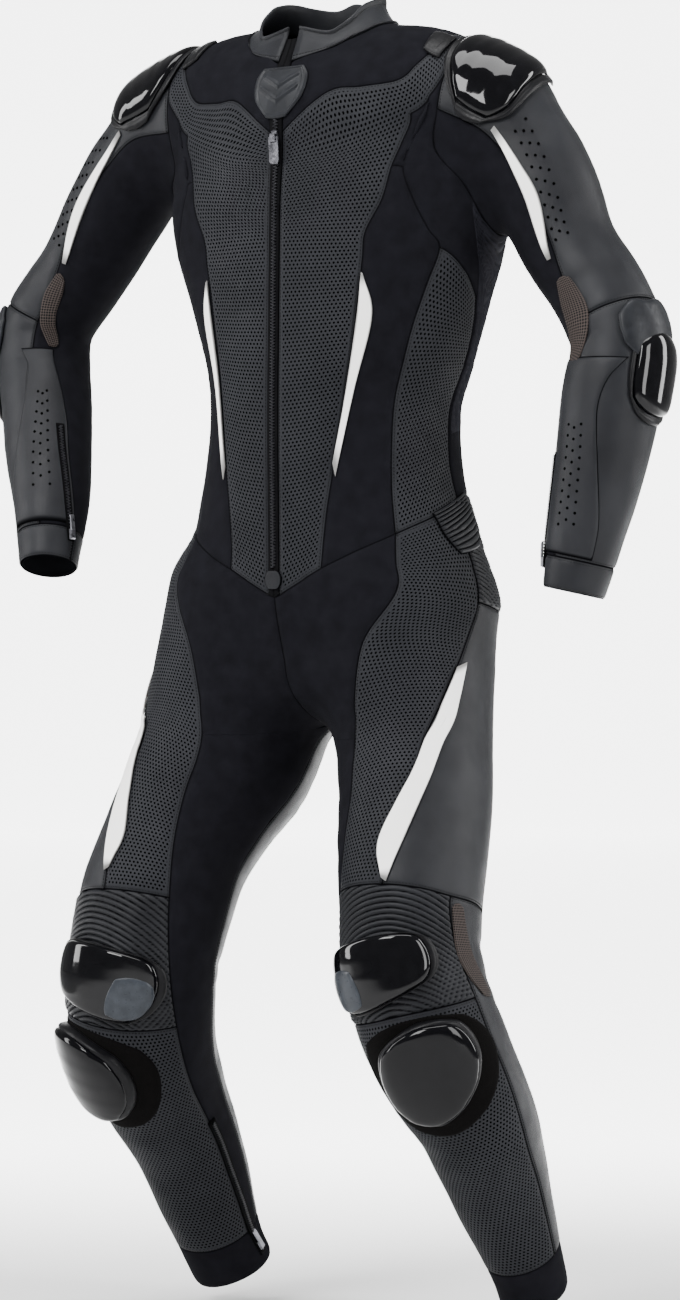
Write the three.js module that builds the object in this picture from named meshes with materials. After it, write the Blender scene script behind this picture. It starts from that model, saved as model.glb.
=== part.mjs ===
// One-piece motorcycle race suit, hollow worn form, millimetres, +Z up, front toward -Y, wearer's left toward +X.
// Height 0 is the shoulder line beside the neck, where the wearer holds the suit up.
import * as THREE from 'three';

const WALL = 2.2;
const SEAM_HALF = 0.2;
const CHEST_AXIS_Y = -5;
const FAN_HEIGHT = -215;

const rad = THREE.MathUtils.degToRad;
const vec = (x, y, z) => new THREE.Vector3(x, y, z);
const mix = (a, b, t) => a + (b - a) * t;

// Body sections: centre x, y, z, then half width, front half depth, back half depth.
const TORSO = [
  [-2, 0, -660, 150, 105, 116],
  [-4, 0, -600, 172, 119, 118],
  [0, 0, -540, 160, 121, 118],
  [0, 0, -488, 145, 122, 110],
  [1, 0, -436, 135, 123, 106],
  [2, 0, -384, 134, 123, 104],
  [5, 0, -332, 150, 122, 104],
  [6, 0, -279, 168, 121, 104],
  [6, 0, -227, 186, 120, 102],
  [4, 0, -170, 192, 118, 98],
  [0, 0, -120, 180, 112, 90],
];
const SHOULDERS = [
  [-208, 8, -84, 47, 54, 52],
  [-165, 4, -68, 55, 62, 60],
  [-100, 0, -58, 64, 82, 72],
  [0, 0, -66, 62, 102, 78],
  [100, 0, -63, 63, 82, 72],
  [165, 4, -79, 53, 62, 60],
  [200, 8, -94, 46, 54, 52],
];
const NECK = [
  [2, -14, -90, 76, 76, 66],
  [2, -18, -30, 66, 64, 62],
  [2, -20, 20, 58, 60, 62],
  [2, -22, 60, 56, 58, 60],
];
const ARM_RIGHT = [
  [-140, 5, -80, 46, 52, 52],
  [-208, 4, -90, 53, 56, 55],
  [-250, 4, -127, 55, 58, 56],
  [-285, 6, -172, 54, 56, 54],
  [-328, 8, -232, 49, 50, 50],
  [-374, 6, -288, 49, 48, 52],
  [-376, -2, -334, 48, 48, 57],
  [-356, -24, -384, 48, 48, 52],
  [-337, -46, -436, 46, 46, 48],
  [-318, -68, -488, 40, 41, 43],
  [-304, -92, -556, 30, 33, 33],
];
const ARM_LEFT = [
  [140, 5, -90, 46, 52, 52],
  [190, 4, -105, 54, 57, 55],
  [225, 2, -140, 57, 58, 56],
  [254, 0, -184, 54, 56, 54],
  [280, -2, -238, 49, 50, 50],
  [316, -4, -288, 48, 48, 52],
  [338, -8, -336, 48, 48, 58],
  [335, -14, -390, 49, 50, 53],
  [329, -20, -444, 46, 47, 50],
  [318, -26, -506, 40, 42, 44],
  [302, -34, -588, 31, 34, 34],
];
const LEG_LEFT = [
  [86, 0, -600, 86, 106, 102],
  [93, -8, -660, 86, 102, 98],
  [114, -30, -750, 78, 86, 86],
  [131, -57, -803, 77, 83, 82],
  [144, -83, -855, 75, 80, 77],
  [154, -104, -907, 71, 76, 74],
  [163, -117, -959, 70, 71, 75],
  [176, -114, -1012, 70, 69, 78],
  [187, -90, -1064, 68, 67, 78],
  [194, -48, -1116, 60, 61, 69],
  [189, -4, -1168, 55, 56, 62],
  [188, 34, -1225, 47, 48, 51],
  [190, 68, -1282, 38, 40, 42],
  [189, 88, -1318, 36, 37, 39],
];
const LEG_RIGHT = [
  [-88, 0, -600, 92, 112, 106],
  [-101, -8, -660, 96, 110, 104],
  [-114, -31, -750, 95, 97, 98],
  [-132, -57, -803, 85, 89, 91],
  [-147, -83, -855, 79, 84, 83],
  [-156, -104, -907, 80, 82, 84],
  [-163, -117, -959, 78, 75, 84],
  [-171, -114, -1012, 77, 75, 84],
  [-179, -90, -1064, 71, 71, 81],
  [-185, -48, -1116, 63, 65, 74],
  [-187, -4, -1168, 56, 57, 63],
  [-190, 34, -1225, 51, 53, 57],
  [-190, 68, -1282, 44, 45, 48],
  [-184, 88, -1318, 44, 42, 46],
];

// Smooth line through table rows, evenly spaced along its length.
function smoothRows(rows, count) {
  const at = [0];
  for (let i = 1; i < rows.length; i += 1) {
    const [a, b] = [rows[i - 1], rows[i]];
    at.push(at[i - 1] + Math.hypot(b[0] - a[0], b[1] - a[1], b[2] - a[2]));
  }
  const last = rows.length - 1;
  const slope = rows.map((row, i) => {
    const a = Math.max(i - 1, 0);
    const b = Math.min(i + 1, last);
    return row.map((unused, k) => (rows[b][k] - rows[a][k]) / (at[b] - at[a]));
  });
  const out = [];
  for (let n = 0; n < count; n += 1) {
    const q = at[last] * n / (count - 1);
    let i = 0;
    while (i < last - 1 && q > at[i + 1]) i += 1;
    const h = at[i + 1] - at[i];
    const u = (q - at[i]) / h;
    const c0 = 2 * u ** 3 - 3 * u * u + 1;
    const c1 = u ** 3 - 2 * u * u + u;
    const c2 = 3 * u * u - 2 * u ** 3;
    const c3 = u ** 3 - u * u;
    out.push(rows[i].map((v, k) => c0 * v + c1 * h * slope[i][k] + c2 * rows[i + 1][k] + c3 * h * slope[i + 1][k]));
  }
  return out;
}

// Tube of elliptic sections along a line, with frames: along, toward the front, and across.
function tube(rows, count, cap, power = 2) {
  const fine = smoothRows(rows, count);
  const centre = fine.map((r) => vec(r[0], r[1], r[2]));
  const along = centre.map((c, i) => {
    const a = centre[Math.max(i - 1, 0)];
    const b = centre[Math.min(i + 1, count - 1)];
    return b.clone().sub(a).normalize();
  });
  const front = along.map((t) => vec(0, -1, 0).addScaledVector(t, t.y).normalize());
  const across = along.map((t, i) => front[i].clone().cross(t));
  let length = 0;
  for (let i = 1; i < count; i += 1) length += centre[i].distanceTo(centre[i - 1]);
  return { count, cap, power, centre, along, front, across, length, half: fine.map((r) => r.slice(3)) };
}

function frameAt(line, u) {
  const k = Math.min(Math.max(u, 0), 1) * (line.count - 1);
  const i = Math.min(Math.floor(k), line.count - 2);
  const t = k - i;
  const blend = (list) => list[i].clone().lerp(list[i + 1], t);
  const centre = blend(line.centre);
  if (u < 0) centre.addScaledVector(line.along[0], u * line.length);
  return { centre, front: blend(line.front), across: blend(line.across) };
}

function nearest(line, p) {
  let best = Infinity;
  let index = 0;
  let part = 0;
  for (let i = 0; i < line.count - 1; i += 1) {
    const a = line.centre[i];
    const b = line.centre[i + 1];
    const dx = b.x - a.x;
    const dy = b.y - a.y;
    const dz = b.z - a.z;
    const qx = p.x - a.x;
    const qy = p.y - a.y;
    const qz = p.z - a.z;
    const t = Math.min(Math.max((qx * dx + qy * dy + qz * dz) / (dx * dx + dy * dy + dz * dz), 0), 1);
    const d = (qx - t * dx) ** 2 + (qy - t * dy) ** 2 + (qz - t * dz) ** 2;
    if (d < best) {
      best = d;
      index = i;
      part = t;
    }
  }
  return { index, part };
}

function tubeDistance(line, p) {
  const { index, part } = nearest(line, p);
  const blend = (list) => list[index].clone().lerp(list[index + 1], part);
  const q = p.clone().sub(blend(line.centre));
  const a = q.dot(blend(line.across));
  const b = q.dot(blend(line.front));
  const atEnd = (index === 0 && part <= 0) || (index === line.count - 2 && part >= 1);
  const o = atEnd ? q.dot(blend(line.along)) : 0;
  const half = line.half[index].map((v, k) => mix(v, line.half[index + 1][k], part));
  const w = half[0];
  const d = b > 0 ? half[1] : half[2];
  const h = line.cap;
  const e = line.power;
  const sum = Math.abs(a / w) ** e + Math.abs(b / d) ** e + Math.abs(o / h) ** e;
  const k0 = Math.max(sum, 1e-12) ** (1 / e);
  const ga = Math.abs(a) ** (e - 1) / w ** e;
  const gb = Math.abs(b) ** (e - 1) / d ** e;
  const go = Math.abs(o) ** (e - 1) / h ** e;
  return (k0 - 1) / Math.max(k0 ** (1 - e) * Math.hypot(ga, gb, go), 1e-9);
}

function smoothMin(a, b, k) {
  const h = Math.max(k - Math.abs(a - b), 0) / k;
  return Math.min(a, b) - h * h * k / 4;
}

const torso = tube(TORSO, 40, 60, 2.15);
const shoulders = tube(SHOULDERS, 40, 30);
const neck = tube(NECK, 16, 30);
const arms = { left: tube(ARM_LEFT, 48, 60), right: tube(ARM_RIGHT, 48, 60) };
const legs = { left: tube(LEG_LEFT, 56, 60), right: tube(LEG_RIGHT, 56, 60) };

// Outside surface of the suit is where this is nought.
function suit(p) {
  let f = smoothMin(tubeDistance(torso, p), tubeDistance(shoulders, p), 60);
  f = smoothMin(f, tubeDistance(neck, p), 30);
  f = smoothMin(f, smoothMin(tubeDistance(legs.left, p), tubeDistance(legs.right, p), 14), 36);
  f = smoothMin(f, tubeDistance(arms.right, p), 40);
  return smoothMin(f, tubeDistance(arms.left, p), 40);
}

// First place along a ray from inside where the outside surface is met, with its normal.
function meet(origin, direction) {
  const at = (t) => origin.clone().addScaledVector(direction, t);
  let low = 5;
  let fLow = suit(at(low));
  let high = low;
  let fHigh = fLow;
  while (fHigh < 0 && high < 500) {
    low = high;
    fLow = fHigh;
    high = low + Math.min(Math.max(-fLow, 1), 12);
    fHigh = suit(at(high));
  }
  for (let n = 0; n < 30 && Math.min(-fLow, fHigh) > 0.01; n += 1) {
    const t = n % 3 === 2 ? (low + high) / 2 : low - fLow * (high - low) / (fHigh - fLow);
    const f = suit(at(t));
    if (f < 0) {
      low = t;
      fLow = f;
    } else {
      high = t;
      fHigh = f;
    }
  }
  const p = at(-fLow < fHigh ? low : high);
  return { p, n: normalAt(p) };
}

function normalAt(p) {
  const e = 0.6;
  const f = suit(p);
  return vec(
    suit(p.clone().add(vec(e, 0, 0))) - f,
    suit(p.clone().add(vec(0, e, 0))) - f,
    suit(p.clone().add(vec(0, 0, e))) - f,
  ).normalize();
}

// Places on the body: turn from the front toward the left in degrees, then level.
// A level below nought is mm under the chest fan, above nought it is degrees of rise.
function onTorso([turn, level]) {
  const rise = rad(Math.max(level, 0));
  const t = rad(turn);
  const direction = vec(Math.sin(t) * Math.cos(rise), -Math.cos(t) * Math.cos(rise), Math.sin(rise));
  return meet(vec(0, CHEST_AXIS_Y, FAN_HEIGHT + Math.min(level, 0)), direction);
}

// Places on a limb: fraction of its length, then turn from the front toward the left in degrees.
function onLimb(line, [u, turn]) {
  const f = frameAt(line, u);
  const t = rad(turn);
  const direction = f.front.clone().multiplyScalar(Math.cos(t)).addScaledVector(f.across, Math.sin(t)).normalize();
  return meet(f.centre, direction);
}

function limbPlaceOf(line, p, near) {
  let { index, part } = nearest(line, p);
  let u = (index + part) / (line.count - 1);
  if (u <= 0) {
    const q = p.clone().sub(line.centre[0]);
    u = Math.min(q.dot(line.along[0]) / line.length, 0);
  }
  const f = frameAt(line, u);
  const q = p.clone().sub(f.centre);
  let turn = THREE.MathUtils.radToDeg(Math.atan2(q.dot(f.across), q.dot(f.front)));
  while (turn < near - 180) turn += 360;
  while (turn > near + 180) turn -= 360;
  return [u, turn];
}

// Smooth value between the entries of a list, for a position that counts entries.
function through(list, x) {
  const last = list.length - 1;
  const i = Math.min(Math.max(Math.floor(x), 0), last - 1);
  const u = x - i;
  const slope = (k) => {
    const a = Math.max(k - 1, 0);
    const b = Math.min(k + 1, last);
    return (list[b] - list[a]) / (b - a);
  };
  const c0 = 2 * u ** 3 - 3 * u * u + 1;
  const c1 = u ** 3 - 2 * u * u + u;
  return c0 * list[i] + c1 * slope(i) + (1 - c0) * list[i + 1] + (u ** 3 - u * u) * slope(i + 1);
}

// Index where each named line falls, given how many cells lie between one and the next.
function lineIndex(names, cells) {
  const out = { [names[0]]: 0 };
  let sum = 0;
  names.slice(1).forEach((name, i) => {
    sum += cells[i];
    out[name] = sum;
  });
  return out;
}

// Fills a table of named rows and columns to a full grid of places.
function fillTable(table, rowCells, colCells) {
  const across = table.map((row) => {
    const out = [];
    colCells.forEach((cells, k) => {
      for (let n = 0; n < cells; n += 1) out.push([0, 1].map((c) => through(row.map((v) => v[c]), k + n / cells)));
    });
    out.push(row[row.length - 1]);
    return out;
  });
  const grid = [];
  const rowAt = (x) => across[0].map((unused, k) => [0, 1].map((c) => through(across.map((r) => r[k][c]), x)));
  rowCells.forEach((cells, r) => {
    for (let n = 0; n < cells; n += 1) grid.push(rowAt(r + n / cells));
  });
  grid.push(rowAt(table.length - 1));
  return grid;
}

// Torso seams for the left half, mirrored for the right. Each entry is turn, level.
// Columns: centre, zip edge, mid panel, centre seam, side seam front, side seam rear, side line, back seam, centre back.
const TORSO_COLS = ['X', 'Z', 'M', 'C', 'P', 'S', 'U', 'B', 'CB'];
const TORSO_COL_CELLS = [1, 1, 2, 2, 2, 2, 2, 3];
const TORSO_ROWS = ['waist', 'low', 'mid', 'high', 'gusset', 'arm', 'chest', 'front', 'top', 'yoke', 'neck'];
const TORSO_ROW_CELLS = [2, 2, 2, 2, 1, 1, 1, 2, 1, 2];
const TORSO_TABLE = [
  [[0, -376], [3, -374], [14, -362], [26, -347], [58, -312], [94, -276], [106, -268], [118, -270], [180, -290]],
  [[0, -300], [3, -299], [15, -294], [29, -285], [58, -262], [93, -234], [106, -228], [119, -228], [180, -238]],
  [[0, -205], [3, -204], [19, -200], [36, -192], [60, -182], [96, -162], [108, -158], [121, -158], [180, -165]],
  [[0, -112], [3, -112], [21, -110], [41, -106], [64, -102], [95, -108], [106, -106], [120, -104], [180, -104]],
  [[0, -34], [3, -34], [23, -34], [44, -32], [70, -22], [90, -68], [100, -72], [113, -56], [180, -48]],
  [[0, -6], [3, -6], [23, -6], [45, -6], [66, -4], [80, 0], [91, -21], [103, 0], [180, -12]],
  [[0, 9], [3, 9], [25, 10], [51, 10], [61, 9], [75, 12], [90, 12], [107, 12], [180, 6]],
  [[0, 21], [3.2, 21], [27, 22], [54.6, 21.5], [58.2, 20.5], [69, 24], [90, 24], [110, 24], [180, 18]],
  [[0, 33], [3.5, 33], [29, 34], [61, 35], [66, 37], [71, 40], [90, 48.5], [110, 41], [180, 35]],
  [[0, 42], [3.8, 42], [29, 50], [56, 45], [63, 46], [72, 49], [90, 54], [109, 51], [180, 48]],
  [[0, 68], [5, 68], [28, 65], [47, 66.5], [57, 68], [67, 69.5], [88, 71.5], [108, 73], [180, 77]],
];
const torsoCol = lineIndex(TORSO_COLS, TORSO_COL_CELLS);
const torsoRow = lineIndex(TORSO_ROWS, TORSO_ROW_CELLS);
const HALF = torsoCol.CB;
const TORSO_AROUND = 2 * HALF;
const torsoPlaces = fillTable(TORSO_TABLE, TORSO_ROW_CELLS, TORSO_COL_CELLS);

function inArmhole(r, k) {
  return r > torsoRow.arm && r < torsoRow.top && k > torsoCol.S && k < torsoCol.B;
}

function wallPoint({ p, n }) {
  return { outer: p, inner: p.clone().addScaledVector(n, -WALL), n };
}

// Torso grid all round: column 0 at the front, left side rising to the centre back, right side counting down.
const torsoGrid = torsoPlaces.map((row, r) => {
  const out = [];
  for (let k = 0; k < TORSO_AROUND; k += 1) {
    const side = k <= HALF ? 1 : -1;
    const m = k <= HALF ? k : TORSO_AROUND - k;
    out.push(inArmhole(r, m) ? null : wallPoint(onTorso([side * row[m][0], row[m][1]])));
  }
  return out;
});

// Armhole seam, round from the armpit by the front: turn about the middle of the armhole, sideways lean.
const ARMHOLE_MIDDLE = [186, 0, -124];
const ARMHOLE = [
  [-90, 0.14], [-70, 0.12], [-52, 0.06], [-38, -0.04], [-10, -0.34], [20, -0.26], [44, -0.18], [66, -0.13],
  [90, -0.12], [112, -0.10], [136, -0.08], [160, -0.04], [188, 0], [214, 0.03], [232, 0.07], [250, 0.12],
];
const ARMHOLE_SLOTS = [
  ['arm', 0, 'U', 0], ['arm', 0, 'U', -1], ['arm', 0, 'S', 0], ['chest', 0, 'S', 0],
  ['front', 0, 'S', 0], ['front', 1, 'S', 0], ['top', 0, 'S', 0], ['top', 0, 'S', 1],
  ['top', 0, 'U', 0], ['top', 0, 'U', 1], ['top', 0, 'B', 0], ['front', 1, 'B', 0],
  ['front', 0, 'B', 0], ['chest', 0, 'B', 0], ['arm', 0, 'B', 0], ['arm', 0, 'U', 1],
];
[1, -1].forEach((side) => {
  ARMHOLE.forEach(([turn, lean], i) => {
    const t = rad(turn);
    const direction = vec(side * lean, -Math.cos(t), Math.sin(t)).normalize();
    const [row, up, col, over] = ARMHOLE_SLOTS[i];
    const k = torsoCol[col] + over;
    const from = vec(side * ARMHOLE_MIDDLE[0], ARMHOLE_MIDDLE[1], ARMHOLE_MIDDLE[2]);
    torsoGrid[torsoRow[row] + up][side > 0 ? k : TORSO_AROUND - k] = wallPoint(meet(from, direction));
  });
});
const torsoAt = (r, k, side) => torsoGrid[r][(side > 0 ? k : TORSO_AROUND - k) % TORSO_AROUND];

// A closed wall from the chosen cells of a grid. Cells are blocks of [column, column, row, row].
function wallPiece(name, grid, blocks, options = {}) {
  const around = grid[0].length;
  const cells = [];
  const taken = new Set();
  blocks.forEach(([k0, k1, r0, r1]) => {
    for (let r = r0; r < r1; r += 1) {
      for (let k = k0; k < k1; k += 1) {
        const id = `${r},${(k + around) % around}`;
        if (!taken.has(id)) cells.push([r, k]);
        taken.add(id);
      }
    }
  });
  const split = options.split ?? 1;
  const points = new Map();
  const quads = [];
  const corner = (r, k) => grid[r][((k % around) + around) % around];
  const add = (r, k, t) => {
    const key = `${((k % around) + around) % around},${r * split + t}`;
    if (!points.has(key)) {
      const a = corner(r, k);
      const b = t > 0 ? corner(r + 1, k) : a;
      const s = t / split;
      points.set(key, {
        outer: a.outer.clone().lerp(b.outer, s),
        inner: a.inner.clone().lerp(b.inner, s),
        n: a.n.clone().lerp(b.n, s).normalize(),
        row: r + s,
        rank: (((k % around) + around) % around) * 1000 + r + s,
        odd: (r * split + t) % 2 === 1,
        edges: [],
      });
    }
    return key;
  };
  const up = (r, k, t) => (t === split ? add(r + 1, k, 0) : add(r, k, t));
  cells.forEach(([r, k]) => {
    for (let t = 0; t < split; t += 1) quads.push([add(r, k, t), add(r, k + 1, t), up(r, k + 1, t + 1), up(r, k, t + 1)]);
  });
  const first = quads[0].map((key) => points.get(key));
  const face = first[1].outer.clone().sub(first[0].outer).cross(first[3].outer.clone().sub(first[0].outer));
  if (face.dot(first[0].n) < 0) quads.forEach((q) => q.reverse());
  const seen = new Set();
  quads.forEach((q) => q.forEach((a, i) => seen.add(`${a}|${q[(i + 1) % 4]}`)));
  const border = [];
  quads.forEach((q) => q.forEach((a, i) => {
    const b = q[(i + 1) % 4];
    if (!seen.has(`${b}|${a}`)) border.push([a, b]);
  }));
  border.forEach(([a, b]) => {
    const e = points.get(b).outer.clone().sub(points.get(a).outer).normalize();
    [a, b].forEach((key) => points.get(key).edges.push(points.get(key).n.clone().cross(e).normalize()));
  });
  const gap = options.gap ?? SEAM_HALF;
  const height = options.rib ?? 0;
  points.forEach((v) => {
    if (v.edges.length > 1) {
      const shift = v.edges[0].clone().add(v.edges[1]);
      const scale = gap / Math.max(1 + v.edges[0].dot(v.edges[1]), 0.15);
      v.outer.addScaledVector(shift, scale);
      v.inner.addScaledVector(shift, scale);
    } else if (height > 0 && v.odd) {
      const here = options.ribRows ? options.ribRows(v.row) : 1;
      v.outer.addScaledVector(v.n, height * here);
    }
  });
  return solid(name, points, quads, border);
}

function solid(name, points, quads, border) {
  const order = new Map();
  const position = [];
  points.forEach((v, key) => {
    order.set(key, order.size);
    position.push(...v.outer.toArray(), ...v.inner.toArray());
  });
  const top = (key) => order.get(key) * 2;
  const low = (key) => order.get(key) * 2 + 1;
  const index = [];
  quads.forEach(([a, b, c, d]) => {
    index.push(top(a), top(b), top(c), top(a), top(c), top(d));
    index.push(low(a), low(c), low(b), low(a), low(d), low(c));
  });
  border.forEach(([a, b]) => {
    if (points.get(a).rank < points.get(b).rank) index.push(top(b), top(a), low(b), top(a), low(a), low(b));
    else index.push(top(b), top(a), low(a), top(b), low(a), low(b));
  });
  const geometry = new THREE.BufferGeometry();
  geometry.setAttribute('position', new THREE.Float32BufferAttribute(position, 3));
  geometry.setIndex(index);
  geometry.computeVertexNormals();
  const mesh = new THREE.Mesh(geometry);
  mesh.name = name;
  return mesh;
}

// A piece laid on the suit between two side lines, lifted clear, with a height over its own middle.
function laidPiece(name, place, sideA, sideB, options) {
  const { along, over, lift, thick } = options;
  const grid = [];
  for (let r = 0; r <= along; r += 1) {
    const v = r / along;
    const a = sideA(v);
    const b = sideB(v);
    const row = [];
    for (let k = 0; k <= over; k += 1) {
      const u = k / over;
      const { p, n } = place([mix(a[0], b[0], u), mix(a[1], b[1], u)]);
      const inner = p.clone().addScaledVector(n, lift);
      row.push({ inner, outer: inner.clone().addScaledVector(n, thick(u, v)), n });
    }
    grid.push(row);
  }
  return wallPiece(name, grid, [[0, over, 0, along]], { gap: 0 });
}

const listLine = (rows) => (v) => rows[0].map((unused, k) => through(rows.map((r) => r[k]), v * (rows.length - 1)));
const dome = (edge, rise, power = 2) => (u, v) => {
  const a = 1 - Math.abs(2 * u - 1) ** (2 * power);
  const b = 1 - Math.abs(2 * v - 1) ** (2 * power);
  return edge + rise * Math.sqrt(Math.max(a * b, 0));
};

const root = new THREE.Group();
root.name = 'race_suit';
const keep = (mesh) => root.add(mesh);
const R = torsoRow;
const K = torsoCol;

// Torso panels
const SIDES = [['left', 1], ['right', -1]];
const block = (side, k0, k1, r0, r1) => (side > 0 ? [k0, k1, r0, r1] : [-k1, -k0, r0, r1]);
SIDES.forEach(([label, side]) => {
  const b = (k0, k1, r0, r1) => block(side, k0, k1, r0, r1);
  keep(wallPiece(`zip_tape_${label}`, torsoGrid, [b(K.X, K.Z, R.waist, R.neck)]));
  keep(wallPiece(`centre_front_${label}`, torsoGrid, [b(K.Z, K.C, R.waist, R.yoke), b(K.C, K.U, R.top, R.yoke)]));
  keep(wallPiece(`side_front_${label}`, torsoGrid, [b(K.C, K.P, R.waist, R.front)]));
  keep(wallPiece(`side_body_${label}`, torsoGrid, [b(K.P, K.S, R.waist, R.gusset)]));
  const ribRows = (r) => (r < R.low + 1 || r > R.high - 1 ? 1 : 0);
  keep(wallPiece(
    `underarm_${label}`,
    torsoGrid,
    [b(K.S, K.B, R.waist, R.arm), b(K.P, K.S, R.gusset, R.front), b(K.C, K.S, R.front, R.top)],
    { gap: 0.25, split: 4, rib: 1.6, ribRows: (r) => (r < R.gusset ? ribRows(r) : 0) },
  ));
});
keep(wallPiece('back', torsoGrid, [
  [K.B, TORSO_AROUND - K.B, R.waist, R.yoke],
  [K.U, K.B, R.top, R.yoke],
  [TORSO_AROUND - K.B, TORSO_AROUND - K.U, R.top, R.yoke],
]));
keep(wallPiece('yoke', torsoGrid, [[K.Z, TORSO_AROUND - K.Z, R.yoke, R.neck]]));

// Collar: rises from the neck line and leans in toward the neck. Heights run from the zip round to the back.
const NECK_MIDDLE_Y = -18;
const COLLAR_RISE = [13, 17, 21, 23, 24, 26, 30, 33];
const COLLAR_LEAN = [4, 9, 14, 17, 17, 14, 9, 6];
const collarGrid = [0, 0.5, 1].map((t) => {
  const out = [];
  for (let k = K.Z; k <= TORSO_AROUND - K.Z; k += 1) {
    const m = Math.min(k, TORSO_AROUND - k);
    const x = (m - K.Z) / (HALF - K.Z) * (COLLAR_RISE.length - 1);
    const base = torsoGrid[R.neck][k];
    const inward = vec(-base.outer.x, NECK_MIDDLE_Y - base.outer.y, 0).normalize();
    const rise = through(COLLAR_RISE, x) * t;
    const lean = through(COLLAR_LEAN, x) * (2 * t - t * t);
    const shift = inward.clone().multiplyScalar(lean).add(vec(0, 0, rise));
    const n = base.n.clone().lerp(inward.clone().negate().add(vec(0, 0, 0.4)).normalize(), t).normalize();
    const outer = base.outer.clone().add(shift);
    out.push({ outer, inner: t === 0 ? base.inner.clone() : outer.clone().addScaledVector(n, -WALL), n });
  }
  return out;
});
keep(wallPiece('collar', collarGrid, [[0, collarGrid[0].length - 1, 0, 2]]));

// Leg seams for the left leg, mirrored for the right. Each entry is length fraction, turn.
// Columns: inseam front, inner thigh seam, outer thigh seam, knee side, rear seam, inseam back.
// Above the crotch the first and last columns follow the rise instead, given in degrees under the hips.
const LEG_ROWS = ['waist', 'inset', 'hip', 'seat', 'crotch', 'thigh', 'kneeTop', 'kneeLow', 'shin', 'calf', 'hem', 'end'];
const LEG_ROW_CELLS = [2, 1, 1, 2, 2, 2, 3, 2, 2, 2, 1];
const LEG_TABLE = [
  [null, [-0.072, 24], [-0.069, 86], [-0.069, 106], [-0.066, 132], null],
  [null, [0.002, 26], [0.008, 84], [0.010, 105], [0.010, 130], null],
  [null, [0.070, 6], [0.074, 74], [0.074, 100], [0.074, 128], null],
  [null, [0.140, -6], [0.136, 60], [0.136, 98], [0.136, 128], null],
  [[0.200, -88], [0.205, -12], [0.200, 46], [0.205, 92], [0.205, 128], [0.200, 272]],
  [[0.290, -92], [0.290, -20], [0.290, 34], [0.290, 84], [0.290, 128], [0.290, 268]],
  [[0.412, -100], [0.408, -42], [0.416, 10], [0.424, 66], [0.420, 122], [0.412, 260]],
  [[0.535, -112], [0.540, -66], [0.540, 10], [0.545, 82], [0.540, 122], [0.535, 248]],
  [[0.650, -112], [0.650, -74], [0.650, 10], [0.650, 84], [0.650, 120], [0.650, 248]],
  [[0.800, -112], [0.800, -78], [0.800, 10], [0.800, 86], [0.800, 120], [0.800, 248]],
  [[0.930, -112], [0.930, -84], [0.930, 8], [0.930, 88], [0.930, 120], [0.930, 248]],
  [[0.994, -112], [0.994, -86], [0.992, 8], [0.990, 88], [0.990, 120], [0.992, 248]],
];
const RISE_FRONT = [0, 6, 24, 50, 88];
const RISE_BACK = [180, 170, 152, 126, 88];
const RISE_SWAY = 0.05;
const CROTCH = 4;

function onRise(turn) {
  const t = rad(turn);
  return meet(vec(0, 0, -590), vec(RISE_SWAY * Math.sin(t), -Math.cos(t), -Math.sin(t)).normalize());
}

const LEG_COL_CELLS = [K.P, K.S - K.P, K.U - K.S, K.B - K.U, HALF - K.B];
const legCol = lineIndex(['I', 'P', 'S', 'U', 'B', 'CB'], LEG_COL_CELLS);
const legRow = lineIndex(LEG_ROWS, LEG_ROW_CELLS);

function spreadColumns(knots, cells) {
  const out = [];
  cells.forEach((count, k) => {
    for (let n = 0; n < count; n += 1) out.push([0, 1].map((c) => mix(knots[k][c], knots[k + 1][c], n / count)));
  });
  out.push(knots[knots.length - 1]);
  return out;
}

// How far the knee sits down each leg from the tables, as a fraction of its length.
const KNEE_DROP = { left: -0.010, right: 0.008 };

function legGrid(line, side) {
  const drop = side > 0 ? KNEE_DROP.left : KNEE_DROP.right;
  const table = LEG_TABLE.map((row, r) => {
    const here = LEG_ROWS[r].startsWith('knee') ? drop : 0;
    return row.map((entry) => (entry ? [entry[0] + here, entry[1]] : entry));
  });
  const place = (p, near) => {
    const [u, turn] = limbPlaceOf(line, p, side * near);
    return [u, side * turn];
  };
  const placesAt = (x) => {
    const column = (k, from) => [0, 1].map((c) => through(table.slice(from).map((row) => row[k][c]), x - from));
    const knots = [1, 2, 3, 4].map((k) => column(k, 0));
    const high = x < CROTCH;
    const first = high || x === CROTCH ? place(onRise(through(RISE_FRONT, Math.min(x, CROTCH))).p, -60) : column(0, CROTCH);
    const last = high ? place(onRise(through(RISE_BACK, x)).p, 220) : column(5, CROTCH);
    if (x === CROTCH) return spreadColumns([first, ...knots, [first[0], first[1] + 360]], LEG_COL_CELLS);
    return spreadColumns([first, ...knots, last], LEG_COL_CELLS);
  };
  const waist = [];
  for (let k = 0; k <= HALF; k += 1) waist.push(place(torsoAt(0, k, side).outer, k > HALF / 2 ? 130 : 20));
  const grid = [];
  LEG_ROW_CELLS.forEach((cells, r) => {
    const steps = r === LEG_ROW_CELLS.length - 1 ? cells + 1 : cells;
    for (let n = 0; n < steps; n += 1) {
      const x = r + n / cells;
      const places = x < 1 ? placesAt(1).map((v, k) => [0, 1].map((c) => mix(waist[k][c], v[c], x))) : placesAt(x);
      grid.push(places.map((v, k) => {
        if (x === 0) return torsoAt(0, k, side);
        if (x <= CROTCH && k === 0) return wallPoint(onRise(through(RISE_FRONT, x)));
        if (x <= CROTCH && k === HALF) return wallPoint(onRise(through(RISE_BACK, x)));
        return wallPoint(onLimb(line, [v[0], side * v[1]]));
      }));
    }
  });
  return grid;
}

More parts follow.
